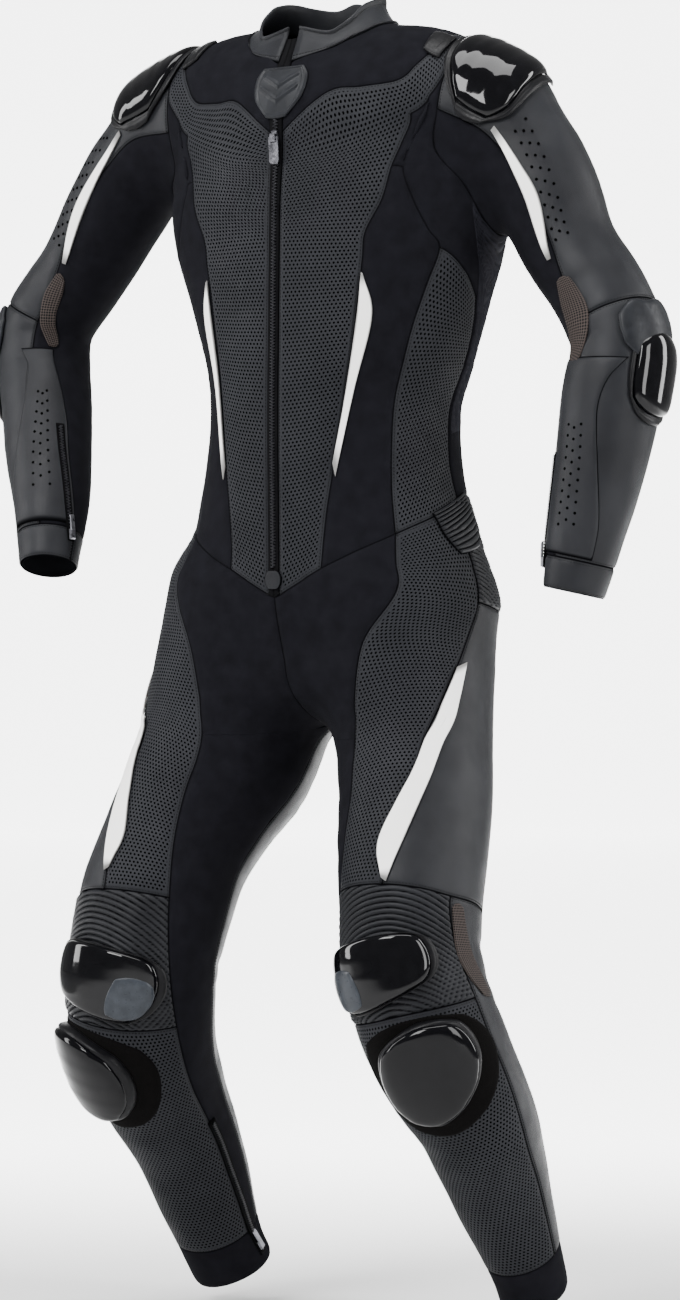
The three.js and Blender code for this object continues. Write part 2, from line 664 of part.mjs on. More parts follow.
// Knee cup and slider outlines on the leg: inner side line, then outer side line, top to bottom.
const KNEE_CUP = [
  [[0.470, -32], [0.478, -50], [0.502, -54], [0.525, -44], [0.536, -26]],
  [[0.466, 28], [0.472, 46], [0.494, 52], [0.514, 46], [0.524, 22]],
];
const KNEE_SLIDER = [
  [[0.552, -2], [0.566, -20], [0.598, -26], [0.630, -22], [0.652, -8]],
  [[0.546, 44], [0.558, 62], [0.590, 66], [0.622, 56], [0.646, 34]],
];
const THIGH_STRIPE = [
  [[0.108, 60], [0.170, 50], [0.240, 40], [0.300, 22], [0.360, 4], [0.398, 5]],
  [[0.098, 70], [0.170, 64], [0.240, 56], [0.300, 39], [0.360, 18], [0.400, 9]],
];

SIDES.forEach(([label, side]) => {
  const line = legs[label];
  const grid = legGrid(line, side);
  const L = legRow;
  const c = legCol;
  const place = ([u, turn]) => onLimb(line, [u, side * turn]);
  const ring = grid.map((row) => row.slice(0, -1));
  const openRows = grid.slice(0, L.crotch + 1);
  keep(wallPiece(`hip_front_${label}`, openRows, [[c.I, c.P, 0, L.crotch]]));
  keep(wallPiece(`inner_leg_${label}`, ring, [[c.I, c.P, L.crotch, L.hem]]));
  keep(wallPiece(`thigh_front_${label}`, ring, [[c.P, c.S, 0, L.kneeTop]]));
  keep(wallPiece(`waist_inset_${label}`, ring, [[c.S, c.B, 0, L.inset]], { split: 4, rib: 2 }));
  keep(wallPiece(`thigh_outer_${label}`, ring, [[c.S, c.B, L.inset, L.kneeTop]]));
  keep(wallPiece(`knee_accordion_${label}`, ring, [[c.P, c.U, L.kneeTop, L.kneeLow]], { split: 6, rib: 2.4 }));
  keep(wallPiece(`shin_${label}`, ring, [[c.P, c.U, L.kneeLow, L.hem]]));
  keep(wallPiece(`seat_${label}`, openRows, [[c.B, c.CB, 0, L.crotch]]));
  keep(wallPiece(`leg_back_${label}`, ring, [[c.B, c.CB, L.crotch, L.hem], [c.U, c.B, L.kneeTop, L.hem]]));
  keep(wallPiece(`hem_${label}`, ring, [[0, HALF, L.hem, L.end]]));
  const laid = (name, lines, options) => keep(laidPiece(name, place, listLine(lines[0]), listLine(lines[1]), options));
  const dropped = (lines) => lines.map((rows) => rows.map(([u, turn]) => [u + KNEE_DROP[label], turn]));
  laid(`thigh_stripe_${label}`, THIGH_STRIPE, { along: 14, over: 2, lift: 1.7, thick: () => 1.2 });
  laid(`knee_cup_${label}`, dropped(KNEE_CUP), { along: 8, over: 8, lift: 3.3, thick: dome(1.6, 9) });
  laid(`knee_slider_${label}`, dropped(KNEE_SLIDER), { along: 8, over: 8, lift: 0.8, thick: dome(3, 16, 3) });
});

// Sleeve seams for the left sleeve, mirrored for the right. Rows: length fraction, tilt, turn of the front seam.
const SLEEVE_ROWS = ['armhole', 'upper', 'mid', 'low', 'elbowTop', 'elbow', 'elbowLow', 'fore', 'cuff', 'end'];
const SLEEVE_ROW_CELLS = [2, 1, 1, 1, 1, 1, 2, 1, 1];
const SLEEVE_TABLE = [
  [0.10, 0.100, 2],
  [0.25, 0.060, 5],
  [0.34, 0.020, 7],
  [0.43, 0, -6],
  [0.52, 0, -20],
  [0.60, 0, -24],
  [0.68, 0, -18],
  [0.82, 0, -16],
  [0.945, 0, -20],
  [1.00, 0, -20],
];
const sleeveRow = lineIndex(SLEEVE_ROWS, SLEEVE_ROW_CELLS);
const SLEEVE_COL_CELLS = [5, 3, 3, 5];
const sleeveCol = lineIndex(['A', 'F', 'T', 'K', 'end'], SLEEVE_COL_CELLS);

function armholeRing(side) {
  const out = [];
  for (let k = K.U; k > K.S; k -= 1) out.push(torsoAt(R.arm, k, side));
  for (let r = R.arm; r < R.top; r += 1) out.push(torsoAt(r, K.S, side));
  for (let k = K.S; k < K.B; k += 1) out.push(torsoAt(R.top, k, side));
  for (let r = R.top; r > R.arm; r -= 1) out.push(torsoAt(r, K.B, side));
  for (let k = K.B; k > K.U; k -= 1) out.push(torsoAt(R.arm, k, side));
  return out;
}

function sleeveGrid(line, side) {
  const ring = armholeRing(side);
  const n = ring.length;
  const placesAt = (x) => {
    const [u, tilt, front] = [0, 1, 2].map((c) => through(SLEEVE_TABLE.map((row) => row[c]), x));
    const knots = [[u, -90], [u, front], [u, 90], [u, 184], [u, 270]];
    return spreadColumns(knots, SLEEVE_COL_CELLS).map(([a, turn]) => [a - tilt * Math.sin(rad(turn)), turn]);
  };
  const guess = placesAt(1);
  const first = ring.map((v, k) => {
    const [u, turn] = limbPlaceOf(line, v.outer, side * guess[k][1]);
    return [u, side * turn];
  });
  const grid = [];
  SLEEVE_ROW_CELLS.forEach((cells, r) => {
    const steps = r === SLEEVE_ROW_CELLS.length - 1 ? cells + 1 : cells;
    for (let m = 0; m < steps; m += 1) {
      const x = r + m / cells;
      const places = x < 1 ? guess.slice(0, n).map((v, k) => [0, 1].map((c) => mix(first[k][c], v[c], x))) : placesAt(x).slice(0, n);
      grid.push(places.map((v, k) => (x === 0 ? ring[k] : wallPoint(onLimb(line, [v[0], side * v[1]])))));
    }
  });
  return grid;
}

// Shoulder cup, elbow cup and sleeve stripe outlines: first side line, then second side line.
const SHOULDER_CUP = [
  [[0.088, -4], [0.044, 22], [0.020, 50], [0.014, 88], [0.026, 124]],
  [[0.126, 0], [0.150, 26], [0.136, 56], [0.122, 90], [0.112, 124]],
];
const CUP_DROP = { left: 0, right: 0.005 };
const ELBOW_CUP = [
  [[0.575, 44], [0.556, 60], [0.548, 90], [0.556, 122], [0.575, 138]],
  [[0.655, 44], [0.690, 60], [0.700, 90], [0.690, 122], [0.655, 138]],
];
const SLEEVE_STRIPE = [
  [[0.150, 8], [0.220, 3], [0.285, 0], [0.340, -4], [0.394, -9]],
  [[0.148, 13], [0.220, 13], [0.285, 15], [0.340, 9], [0.396, -4]],
];

SIDES.forEach(([label, side]) => {
  const line = arms[label];
  const grid = sleeveGrid(line, side);
  const A = sleeveRow;
  const c = sleeveCol;
  const n = c.end;
  const place = ([u, turn]) => onLimb(line, [u, side * turn]);
  keep(wallPiece(`sleeve_inner_${label}`, grid, [[c.K - n, c.F, 0, A.cuff]]));
  keep(wallPiece(`sleeve_outer_${label}`, grid, [[c.F, c.K, 0, A.elbowTop]]));
  keep(wallPiece(`forearm_${label}`, grid, [[c.F, c.K, A.elbowTop, A.cuff]]));
  keep(wallPiece(`cuff_${label}`, grid, [[0, n, A.cuff, A.end]]));
  const laid = (name, lines, options) => keep(laidPiece(name, place, listLine(lines[0]), listLine(lines[1]), options));
  laid(`sleeve_stripe_${label}`, SLEEVE_STRIPE, { along: 10, over: 1, lift: 1.2, thick: () => 1.2 });
  laid(`shoulder_cup_${label}`, SHOULDER_CUP.map((rows) => rows.map(([u, turn]) => [u + CUP_DROP[label], turn])), { along: 10, over: 8, lift: 1.9, thick: dome(2.5, 6.5, 3) });
  laid(`elbow_cup_${label}`, ELBOW_CUP, { along: 8, over: 6, lift: 0.8, thick: dome(2, 8) });
});

// Pieces laid on the torso: white stripes, throat badge, zip end patch.
const TORSO_STRIPE = [
  [[43, -48], [41, -100], [36, -190], [31, -250]],
  [[44.5, -50], [48, -96], [41, -170], [34, -250]],
];
const BADGE = [
  [[-13, 59.5], [-16, 56], [-14, 50.5], [-5, 45.5]],
  [[15, 59.5], [18, 56], [15, 50.5], [6, 45.5]],
];
SIDES.forEach(([label, side]) => {
  const place = ([turn, level]) => onTorso([side * turn, level]);
  const lines = TORSO_STRIPE.map(listLine);
  keep(laidPiece(`torso_stripe_${label}`, place, lines[0], lines[1], { along: 14, over: 1, lift: 1.2, thick: () => 1.2 }));
});
keep(laidPiece('throat_badge', onTorso, listLine(BADGE[0]), listLine(BADGE[1]), { along: 6, over: 8, lift: 0.6, thick: dome(1.6, 3) }));

const END_PATCH = [
  [[-1.6, -348.6], [-3.6, -350.4], [-4.9, -355], [-4.9, -361], [-3.6, -366], [-1.6, -368]],
  [[1.6, -348.6], [3.6, -350.4], [4.9, -355], [4.9, -361], [3.6, -366], [1.6, -368]],
];
keep(laidPiece('zip_end_patch', onTorso, listLine(END_PATCH[0]), listLine(END_PATCH[1]), {
  along: 10, over: 6, lift: 0.8, thick: () => 1.4,
}));

// Main zip slider and pull, drawn in side and front view at the closed end of the zip.
const ZIP_PLACE = [0, 40.5];
const SLIDER = { half: 7, base: [1.3, 4.1], arch: [4, 8.1], eye: [2.6, 4.7, 6.9], width: 6 };
const PULL = { bar: 0.75, thick: 1.2, hole: [3.6, 5.3], half: 5.6, tip: 4, length: 27, depth: 5.8 };

function shapeOf(points) {
  return new THREE.Shape(points.map(([a, b]) => new THREE.Vector2(a, b)));
}

function zipFrame() {
  const { p, n } = onTorso(ZIP_PLACE);
  const out = vec(0, n.y, n.z).normalize();
  const across = vec(1, 0, 0);
  const up = out.clone().cross(across);
  return { p: vec(0, p.y, p.z), out, across, up };
}

function placed(geometry, name, x, y, z, origin) {
  const mesh = new THREE.Mesh(geometry);
  mesh.name = name;
  mesh.matrixAutoUpdate = false;
  mesh.matrix.makeBasis(x, y, z).setPosition(origin);
  return mesh;
}

const zip = zipFrame();
const [archHalf, archTop] = SLIDER.arch;
const [eyeHalf, eyeLow, eyeHigh] = SLIDER.eye;
const [baseLow, baseTop] = SLIDER.base;
const sliderSide = shapeOf([
  [-SLIDER.half, baseLow], [SLIDER.half, baseLow], [SLIDER.half, baseTop], [archHalf, baseTop],
  [archHalf, archTop - 1], [archHalf - 1, archTop], [1 - archHalf, archTop], [-archHalf, archTop - 1],
  [-archHalf, baseTop], [-SLIDER.half, baseTop],
]);
sliderSide.holes.push(shapeOf([[-eyeHalf, eyeLow], [-eyeHalf, eyeHigh], [eyeHalf, eyeHigh], [eyeHalf, eyeLow]]));
const sliderBody = new THREE.ExtrudeGeometry(sliderSide, { depth: SLIDER.width, bevelEnabled: false });
sliderBody.translate(0, 0, -SLIDER.width / 2);
keep(placed(sliderBody, 'zip_slider', zip.up, zip.out, zip.across, zip.p));

const [holeHalf, holeDrop] = PULL.hole;
const pullFront = shapeOf([
  [-PULL.half, PULL.bar], [PULL.half, PULL.bar], [PULL.half, -PULL.length + 3], [PULL.tip, -PULL.length],
  [-PULL.tip, -PULL.length], [-PULL.half, -PULL.length + 3],
]);
pullFront.holes.push(shapeOf([
  [-holeHalf, -PULL.bar], [-holeHalf, -holeDrop], [holeHalf, -holeDrop], [holeHalf, -PULL.bar],
]));
const pullPlate = new THREE.ExtrudeGeometry(pullFront, { depth: PULL.thick, bevelEnabled: false });
pullPlate.translate(0, 0, PULL.depth - PULL.thick / 2);
keep(placed(pullPlate, 'zip_pull', zip.across, zip.up, zip.out, zip.p));

export default root;
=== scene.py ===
import math

import bpy
import numpy as np
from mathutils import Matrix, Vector, kdtree


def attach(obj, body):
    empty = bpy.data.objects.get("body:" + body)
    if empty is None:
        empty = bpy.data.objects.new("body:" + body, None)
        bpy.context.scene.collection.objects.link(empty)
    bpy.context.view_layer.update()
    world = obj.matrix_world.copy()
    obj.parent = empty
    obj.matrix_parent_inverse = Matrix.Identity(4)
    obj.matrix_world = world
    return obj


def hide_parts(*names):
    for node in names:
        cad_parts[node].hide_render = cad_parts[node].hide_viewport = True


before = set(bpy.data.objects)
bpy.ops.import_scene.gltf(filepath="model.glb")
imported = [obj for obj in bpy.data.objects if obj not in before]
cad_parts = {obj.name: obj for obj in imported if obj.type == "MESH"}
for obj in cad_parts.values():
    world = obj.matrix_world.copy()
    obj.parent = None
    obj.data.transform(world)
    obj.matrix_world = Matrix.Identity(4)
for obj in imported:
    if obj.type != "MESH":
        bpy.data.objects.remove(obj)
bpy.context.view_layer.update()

# Shape of the suit, in millimetres: rows of a centre, then half width, front depth and back depth
CHEST_AXIS_Y = -5.0
FAN_HEIGHT = -215.0
TORSO = [
    [-2, 0, -660, 150, 105, 116], [-4, 0, -600, 172, 119, 118], [0, 0, -540, 160, 121, 118],
    [0, 0, -488, 145, 122, 110], [1, 0, -436, 135, 123, 106], [2, 0, -384, 134, 123, 104],
    [5, 0, -332, 150, 122, 104], [6, 0, -279, 168, 121, 104], [6, 0, -227, 186, 120, 102],
    [4, 0, -170, 192, 118, 98], [0, 0, -120, 180, 112, 90],
]
SHOULDERS = [
    [-208, 8, -84, 47, 54, 52], [-165, 4, -68, 55, 62, 60], [-100, 0, -58, 64, 82, 72],
    [0, 0, -66, 62, 102, 78], [100, 0, -63, 63, 82, 72], [165, 4, -79, 53, 62, 60],
    [200, 8, -94, 46, 54, 52],
]
NECK = [
    [2, -14, -90, 76, 76, 66], [2, -18, -30, 66, 64, 62], [2, -20, 20, 58, 60, 62], [2, -22, 60, 56, 58, 60],
]
ARM_RIGHT = [
    [-140, 5, -80, 46, 52, 52], [-208, 4, -90, 53, 56, 55], [-250, 4, -127, 55, 58, 56],
    [-285, 6, -172, 54, 56, 54], [-328, 8, -232, 49, 50, 50], [-374, 6, -288, 49, 48, 52],
    [-376, -2, -334, 48, 48, 57], [-356, -24, -384, 48, 48, 52], [-337, -46, -436, 46, 46, 48],
    [-318, -68, -488, 40, 41, 43], [-304, -92, -556, 30, 33, 33],
]
ARM_LEFT = [
    [140, 5, -90, 46, 52, 52], [190, 4, -105, 54, 57, 55], [225, 2, -140, 57, 58, 56],
    [254, 0, -184, 54, 56, 54], [280, -2, -238, 49, 50, 50], [316, -4, -288, 48, 48, 52],
    [338, -8, -336, 48, 48, 58], [335, -14, -390, 49, 50, 53], [329, -20, -444, 46, 47, 50],
    [318, -26, -506, 40, 42, 44], [302, -34, -588, 31, 34, 34],
]
LEG_LEFT = [
    [86, 0, -600, 86, 106, 102], [93, -8, -660, 86, 102, 98], [114, -30, -750, 78, 86, 86],
    [131, -57, -803, 77, 83, 82], [144, -83, -855, 75, 80, 77], [154, -104, -907, 71, 76, 74],
    [163, -117, -959, 70, 71, 75], [176, -114, -1012, 70, 69, 78], [187, -90, -1064, 68, 67, 78],
    [194, -48, -1116, 60, 61, 69], [189, -4, -1168, 55, 56, 62], [188, 34, -1225, 47, 48, 51],
    [190, 68, -1282, 38, 40, 42], [189, 88, -1318, 36, 37, 39],
]
LEG_RIGHT = [
    [-88, 0, -600, 92, 112, 106], [-101, -8, -660, 96, 110, 104], [-114, -31, -750, 95, 97, 98],
    [-132, -57, -803, 85, 89, 91], [-147, -83, -855, 79, 84, 83], [-156, -104, -907, 80, 82, 84],
    [-163, -117, -959, 78, 75, 84], [-171, -114, -1012, 77, 75, 84], [-179, -90, -1064, 71, 71, 81],
    [-185, -48, -1116, 63, 65, 74], [-187, -4, -1168, 56, 57, 63], [-190, 34, -1225, 51, 53, 57],
    [-190, 68, -1282, 44, 45, 48], [-184, 88, -1318, 44, 42, 46],
]


def unit(v):
    return v / np.maximum(np.linalg.norm(v, axis=-1, keepdims=True), 1e-12)


def smooth_rows(rows, count):
    rows = np.array(rows, float)
    at = np.concatenate([[0], np.cumsum(np.linalg.norm(np.diff(rows[:, :3], axis=0), axis=1))])
    last = len(rows) - 1
    low = np.maximum(np.arange(last + 1) - 1, 0)
    high = np.minimum(np.arange(last + 1) + 1, last)
    slope = (rows[high] - rows[low]) / (at[high] - at[low])[:, None]
    q = np.linspace(0, at[-1], count)
    i = np.clip(np.searchsorted(at, q, side="right") - 1, 0, last - 1)
    h = (at[i + 1] - at[i])[:, None]
    u = (q - at[i])[:, None] / h
    return hermite(rows[i], rows[i + 1], h * slope[i], h * slope[i + 1], u)


def hermite(a, b, ta, tb, u):
    c0 = 2 * u**3 - 3 * u**2 + 1
    return c0 * a + (u**3 - 2 * u**2 + u) * ta + (1 - c0) * b + (u**3 - u**2) * tb


def nearest_on(points, p):
    """For each place the nearest stretch of a line, the part of it passed, and the squared distance."""
    best = np.full(len(p), np.inf)
    index = np.zeros(len(p), int)
    part = np.zeros(len(p))
    for i in range(len(points) - 1):
        d = points[i + 1] - points[i]
        q = p - points[i]
        t = np.clip((q @ d) / (d @ d), 0, 1)
        q = q - t[:, None] * d
        far = np.einsum("ij,ij->i", q, q)
        near = far < best
        best[near] = far[near]
        index[near] = i
        part[near] = t[near]
    return index, part, best


# How far outside its sections a tube still counts in the joins
TUBE_REACH = 70


class Tube:
    """A trunk or limb: half width, front depth and back depth along a smooth centre line."""

    def __init__(self, rows, count, cap, power=2.0):
        fine = smooth_rows(rows, count)
        self.centre = fine[:, :3]
        self.half = fine[:, 3:]
        self.cap = cap
        self.power = power
        self.count = count
        i = np.arange(count)
        self.along = unit(self.centre[np.minimum(i + 1, count - 1)] - self.centre[np.maximum(i - 1, 0)])
        self.front = unit(np.array([0, -1.0, 0]) + self.along * self.along[:, 1:2])
        self.across = np.cross(self.front, self.along)
        self.length = np.linalg.norm(np.diff(self.centre, axis=0), axis=1).sum()
        reach = self.half.max() + TUBE_REACH
        self.low = self.centre.min(0) - reach
        self.high = self.centre.max(0) + reach

    def blend(self, values, index, part):
        return values[index] + (values[index + 1] - values[index]) * part[:, None]

    def distance(self, p):
        """Distance from the tube's surface, below nought inside."""
        index, part, _ = nearest_on(self.centre, p)
        q = p - self.blend(self.centre, index, part)
        a = np.einsum("ij,ij->i", q, self.blend(self.across, index, part))
        b = np.einsum("ij,ij->i", q, self.blend(self.front, index, part))
        o = np.einsum("ij,ij->i", q, self.blend(self.along, index, part))
        ends = ((index == 0) & (part <= 0)) | ((index == self.count - 2) & (part >= 1))
        o = np.where(ends, o, 0)
        half = self.blend(self.half, index, part)
        w = half[:, 0]
        d = np.where(b > 0, half[:, 1], half[:, 2])
        e = self.power
        total = np.abs(a / w) ** e + np.abs(b / d) ** e + np.abs(o / self.cap) ** e
        k0 = np.maximum(total, 1e-12) ** (1 / e)
        ga = np.abs(a) ** (e - 1) / w**e
        gb = np.abs(b) ** (e - 1) / d**e
        go = np.abs(o) ** (e - 1) / self.cap**e
        slope = k0 ** (1 - e) * np.sqrt(ga**2 + gb**2 + go**2)
        return (k0 - 1) / np.maximum(slope, 1e-9)

    def near(self, p):
        return bool(np.all(p.max(0) > self.low) and np.all(p.min(0) < self.high))

    def frame_at(self, u):
        k = np.clip(u, 0, 1) * (self.count - 1)
        i = np.minimum(np.floor(k).astype(int), self.count - 2)
        t = k - i
        centre = self.blend(self.centre, i, t) + self.along[0] * (np.minimum(u, 0) * self.length)[:, None]
        return centre, self.blend(self.front, i, t), self.blend(self.across, i, t)


def smooth_min(a, b, k):
    h = np.maximum(k - np.abs(a - b), 0) / k
    return np.minimum(a, b) - h * h * k / 4


torso = Tube(TORSO, 40, 60, 2.15)
shoulders = Tube(SHOULDERS, 40, 30)
neck = Tube(NECK, 16, 30)
arms = {"left": Tube(ARM_LEFT, 48, 60), "right": Tube(ARM_RIGHT, 48, 60)}
legs = {"left": Tube(LEG_LEFT, 56, 60), "right": Tube(LEG_RIGHT, 56, 60)}
FAR = 1e4
# Widths of the soft joins between the tubes
JOIN = {"shoulders": 60, "neck": 30, "legs": 14, "hips": 36, "arms": 40}


def suit(p):
    """Distance of each place from the suit's surface, below nought inside."""
    def part(tube):
        return tube.distance(p) if tube.near(p) else np.full(len(p), FAR)

    f = smooth_min(part(torso), part(shoulders), JOIN["shoulders"])
    f = smooth_min(f, part(neck), JOIN["neck"])
    f = smooth_min(f, smooth_min(part(legs["left"]), part(legs["right"]), JOIN["legs"]), JOIN["hips"])
    for label in ("right", "left"):
        f = smooth_min(f, part(arms[label]), JOIN["arms"])
    return f


# The search for the surface along a line: where it starts and ends, its steps, and how near it comes
SEARCH_FROM, SEARCH_TO = 5.0, 500
SHORT_STEP, LONG_STEP = 1, 12
SEARCH_ROUNDS = 24
NEAR_ENOUGH = 0.02


def meet(origin, direction):
    """The places where lines from inside the suit come out of it."""
    origin = np.broadcast_to(np.asarray(origin, float), direction.shape)
    low = np.full(len(direction), SEARCH_FROM)
    f_low = suit(origin + low[:, None] * direction)
    high = low.copy()
    f_high = f_low.copy()
    busy = np.arange(len(direction))
    while len(busy):
        low[busy] = high[busy]
        f_low[busy] = f_high[busy]
        high[busy] = low[busy] + np.clip(-f_low[busy], SHORT_STEP, LONG_STEP)
        f_high[busy] = suit(origin[busy] + high[busy, None] * direction[busy])
        busy = busy[(f_high[busy] < 0) & (high[busy] < SEARCH_TO)]
    for n in range(SEARCH_ROUNDS):
        if n % 3 == 2:
            t = (low + high) / 2
        else:
            t = low - f_low * (high - low) / np.where(f_high == f_low, 1, f_high - f_low)
        f = suit(origin + t[:, None] * direction)
        inside = f < 0
        low = np.where(inside, t, low)
        f_low = np.where(inside, f, f_low)
        high = np.where(inside, high, t)
        f_high = np.where(inside, f_high, f)
        if np.minimum(-f_low, f_high).max() < NEAR_ENOUGH:
            break
    t = np.where(-f_low < f_high, low, high)
    return origin + t[:, None] * direction


def on_torso(places):
    """Places on the trunk from turn and level: millimetres below the fan's middle, degrees of rise above."""
    places = np.asarray(places, float).reshape(-1, 2)
    turn = np.radians(places[:, 0])
    rise = np.radians(np.maximum(places[:, 1], 0))
    direction = np.stack([np.sin(turn) * np.cos(rise), -np.cos(turn) * np.cos(rise), np.sin(rise)], 1)
    origin = np.zeros((len(places), 3))
    origin[:, 1] = CHEST_AXIS_Y
    origin[:, 2] = FAN_HEIGHT + np.minimum(places[:, 1], 0)
    return meet(origin, direction)


def on_limb(line, places, side=1):
    """Places on a limb from the part of its length and the turn round it, the other way for side -1."""
    places = np.asarray(places, float).reshape(-1, 2) * np.array([1, side])
    centre, front, across = line.frame_at(places[:, 0])
    t = np.radians(places[:, 1])[:, None]
    return meet(centre, unit(front * np.cos(t) + across * np.sin(t)))


def limb_place_of(line, p, near):
    index, part, _ = nearest_on(line.centre, p)
    u = (index + part) / (line.count - 1)
    start = np.einsum("ij,j->i", p - line.centre[0], line.along[0]) / line.length
    u = np.where(u <= 0, np.minimum(start, 0), u)
    centre, front, across = line.frame_at(u)
    q = p - centre
    turn = np.degrees(np.arctan2(np.einsum("ij,ij->i", q, across), np.einsum("ij,ij->i", q, front)))
    turn = turn - 360 * np.round((turn - near) / 360)
    return np.stack([u, turn], 1)


def through(values, x):
    values = np.asarray(values, float)
    last = len(values) - 1
    i = int(min(max(math.floor(x), 0), last - 1))
    u = x - i

    def slope(k):
        a, b = max(k - 1, 0), min(k + 1, last)
        return (values[b] - values[a]) / (b - a)

    return hermite(values[i], values[i + 1], slope(i), slope(i + 1), u)


def line_index(names, cells):
    return dict(zip(names, [int(v) for v in np.concatenate([[0], np.cumsum(cells)])]))


# Torso seams, each entry turn and level, as on the solids
TORSO_COLS = ["X", "Z", "M", "C", "P", "S", "U", "B", "CB"]
TORSO_COL_CELLS = [1, 1, 2, 2, 2, 2, 2, 3]
TORSO_ROWS = ["waist", "low", "mid", "high", "gusset", "arm", "chest", "front", "top", "yoke", "neck"]
TORSO_ROW_CELLS = [2, 2, 2, 2, 1, 1, 1, 2, 1, 2]
TORSO_TABLE = [
    [[0, -376], [3, -374], [14, -362], [26, -347], [58, -312],
     [94, -276], [106, -268], [118, -270], [180, -290]],
    [[0, -300], [3, -299], [15, -294], [29, -285], [58, -262],
     [93, -234], [106, -228], [119, -228], [180, -238]],
    [[0, -205], [3, -204], [19, -200], [36, -192], [60, -182],
     [96, -162], [108, -158], [121, -158], [180, -165]],
    [[0, -112], [3, -112], [21, -110], [41, -106], [64, -102],
     [95, -108], [106, -106], [120, -104], [180, -104]],
    [[0, -34], [3, -34], [23, -34], [44, -32], [70, -22],
     [90, -68], [100, -72], [113, -56], [180, -48]],
    [[0, -6], [3, -6], [23, -6], [45, -6], [66, -4],
     [80, 0], [91, -21], [103, 0], [180, -12]],
    [[0, 9], [3, 9], [25, 10], [51, 10], [61, 9],
     [75, 12], [90, 12], [107, 12], [180, 6]],
    [[0, 21], [3.2, 21], [27, 22], [54.6, 21.5], [58.2, 20.5],
     [69, 24], [90, 24], [110, 24], [180, 18]],
    [[0, 33], [3.5, 33], [29, 34], [61, 35], [66, 37],
     [71, 40], [90, 48.5], [110, 41], [180, 35]],
    [[0, 42], [3.8, 42], [29, 50], [56, 45], [63, 46],
     [72, 49], [90, 54], [109, 51], [180, 48]],
    [[0, 68], [5, 68], [28, 65], [47, 66.5], [57, 68],
     [67, 69.5], [88, 71.5], [108, 73], [180, 77]],
]
K = line_index(TORSO_COLS, TORSO_COL_CELLS)
R = line_index(TORSO_ROWS, TORSO_ROW_CELLS)
HALF = K["CB"]
AROUND = 2 * HALF


def steps_of(cells):
    """Places between named lines, as a line's number and the part of the way to the next."""
    return [k + n / count for k, count in enumerate(cells) for n in range(count)] + [len(cells)]


def fill_table(table, row_cells, col_cells):
    """Fills the cells between a table's named rows and columns by smooth curves."""
    across = np.array([[through(row, x) for x in steps_of(col_cells)] for row in table])
    return np.array([through(across, x) for x in steps_of(row_cells)])


class Net:
    """Seam places on the suit, with the slopes of the lines between them."""

    def __init__(self, points, wraps):
        self.points = points
        self.rows, self.cols = points.shape[:2]
        self.wraps = wraps
        self.ring = {}

    def at(self, r, k):
        return self.points[r, k % self.cols if self.wraps else k]

    def slope(self, r, k, dr, dk):
        here = self.at(r, k)
        sides = []
        for sign in (-1, 1):
            rr, kk = r + sign * dr, k + sign * dk
            inside = 0 <= rr < self.rows and (self.wraps or 0 <= kk < self.cols)
            there = self.at(rr, kk) if inside else None
            sides.append(None if there is None or np.isnan(there[0]) else there)
        low, high = sides
        if low is None and high is None:
            return np.zeros(3)
        if low is None:
            return high - here
        if high is None:
            return here - low
        return (high - low) / 2

    def edge(self, r, k, dr, dk):
        a, b = self.at(r, k), self.at(r + dr, k + dk)
        key = (tuple(np.round(a, 3)), tuple(np.round(b, 3)))
        if key in self.ring:
            ta, tb = self.ring[key]
        else:
            ta, tb = self.slope(r, k, dr, dk), self.slope(r + dr, k + dk, dr, dk)
        return a, b, ta, tb

    def cell(self, r, k, s, t):
        """Places inside one cell, from its four edge curves."""
        s = s[None, :, None]
        t = t[:, None, None]
        bottom = hermite(*self.edge(r, k, 0, 1), s)
        top = hermite(*self.edge(r + 1, k, 0, 1), s)
        left = hermite(*self.edge(r, k, 1, 0), t)
        right = hermite(*self.edge(r, k + 1, 1, 0), t)
        flat = (1 - s) * (1 - t) * self.at(r, k) + s * (1 - t) * self.at(r, k + 1)
        flat = flat + (1 - s) * t * self.at(r + 1, k) + s * t * self.at(r + 1, k + 1)
        return (1 - t) * bottom + t * top + (1 - s) * left + s * right - flat

    def add_ring(self, places):
        count = len(places)
        for i in range(count):
            a, b = places[i], places[(i + 1) % count]
            ta = (b - places[i - 1]) / 2
            tb = (places[(i + 2) % count] - a) / 2
            keys = tuple(np.round(a, 3)), tuple(np.round(b, 3))
            self.ring[keys] = (ta, tb)
            self.ring[keys[::-1]] = (-tb, -ta)


def mirrored(k, side):
    return (k if side > 0 else AROUND - k) % AROUND


# The armhole: turns round its middle, each with its lean outward, and the net's places that it fills
ARMHOLE_MIDDLE = [186, 0, -124]
ARMHOLE = [
    [-90, 0.14], [-70, 0.12], [-52, 0.06], [-38, -0.04], [-10, -0.34], [20, -0.26], [44, -0.18], [66, -0.13],
    [90, -0.12], [112, -0.10], [136, -0.08], [160, -0.04], [188, 0], [214, 0.03], [232, 0.07], [250, 0.12],
]
ARMHOLE_SLOTS = [
    ["arm", 0, "U", 0], ["arm", 0, "U", -1], ["arm", 0, "S", 0], ["chest", 0, "S", 0],
    ["front", 0, "S", 0], ["front", 1, "S", 0], ["top", 0, "S", 0], ["top", 0, "S", 1],
    ["top", 0, "U", 0], ["top", 0, "U", 1], ["top", 0, "B", 0], ["front", 1, "B", 0],
    ["front", 0, "B", 0], ["chest", 0, "B", 0], ["arm", 0, "B", 0], ["arm", 0, "U", 1],
]
SIDES = [("left", 1), ("right", -1)]


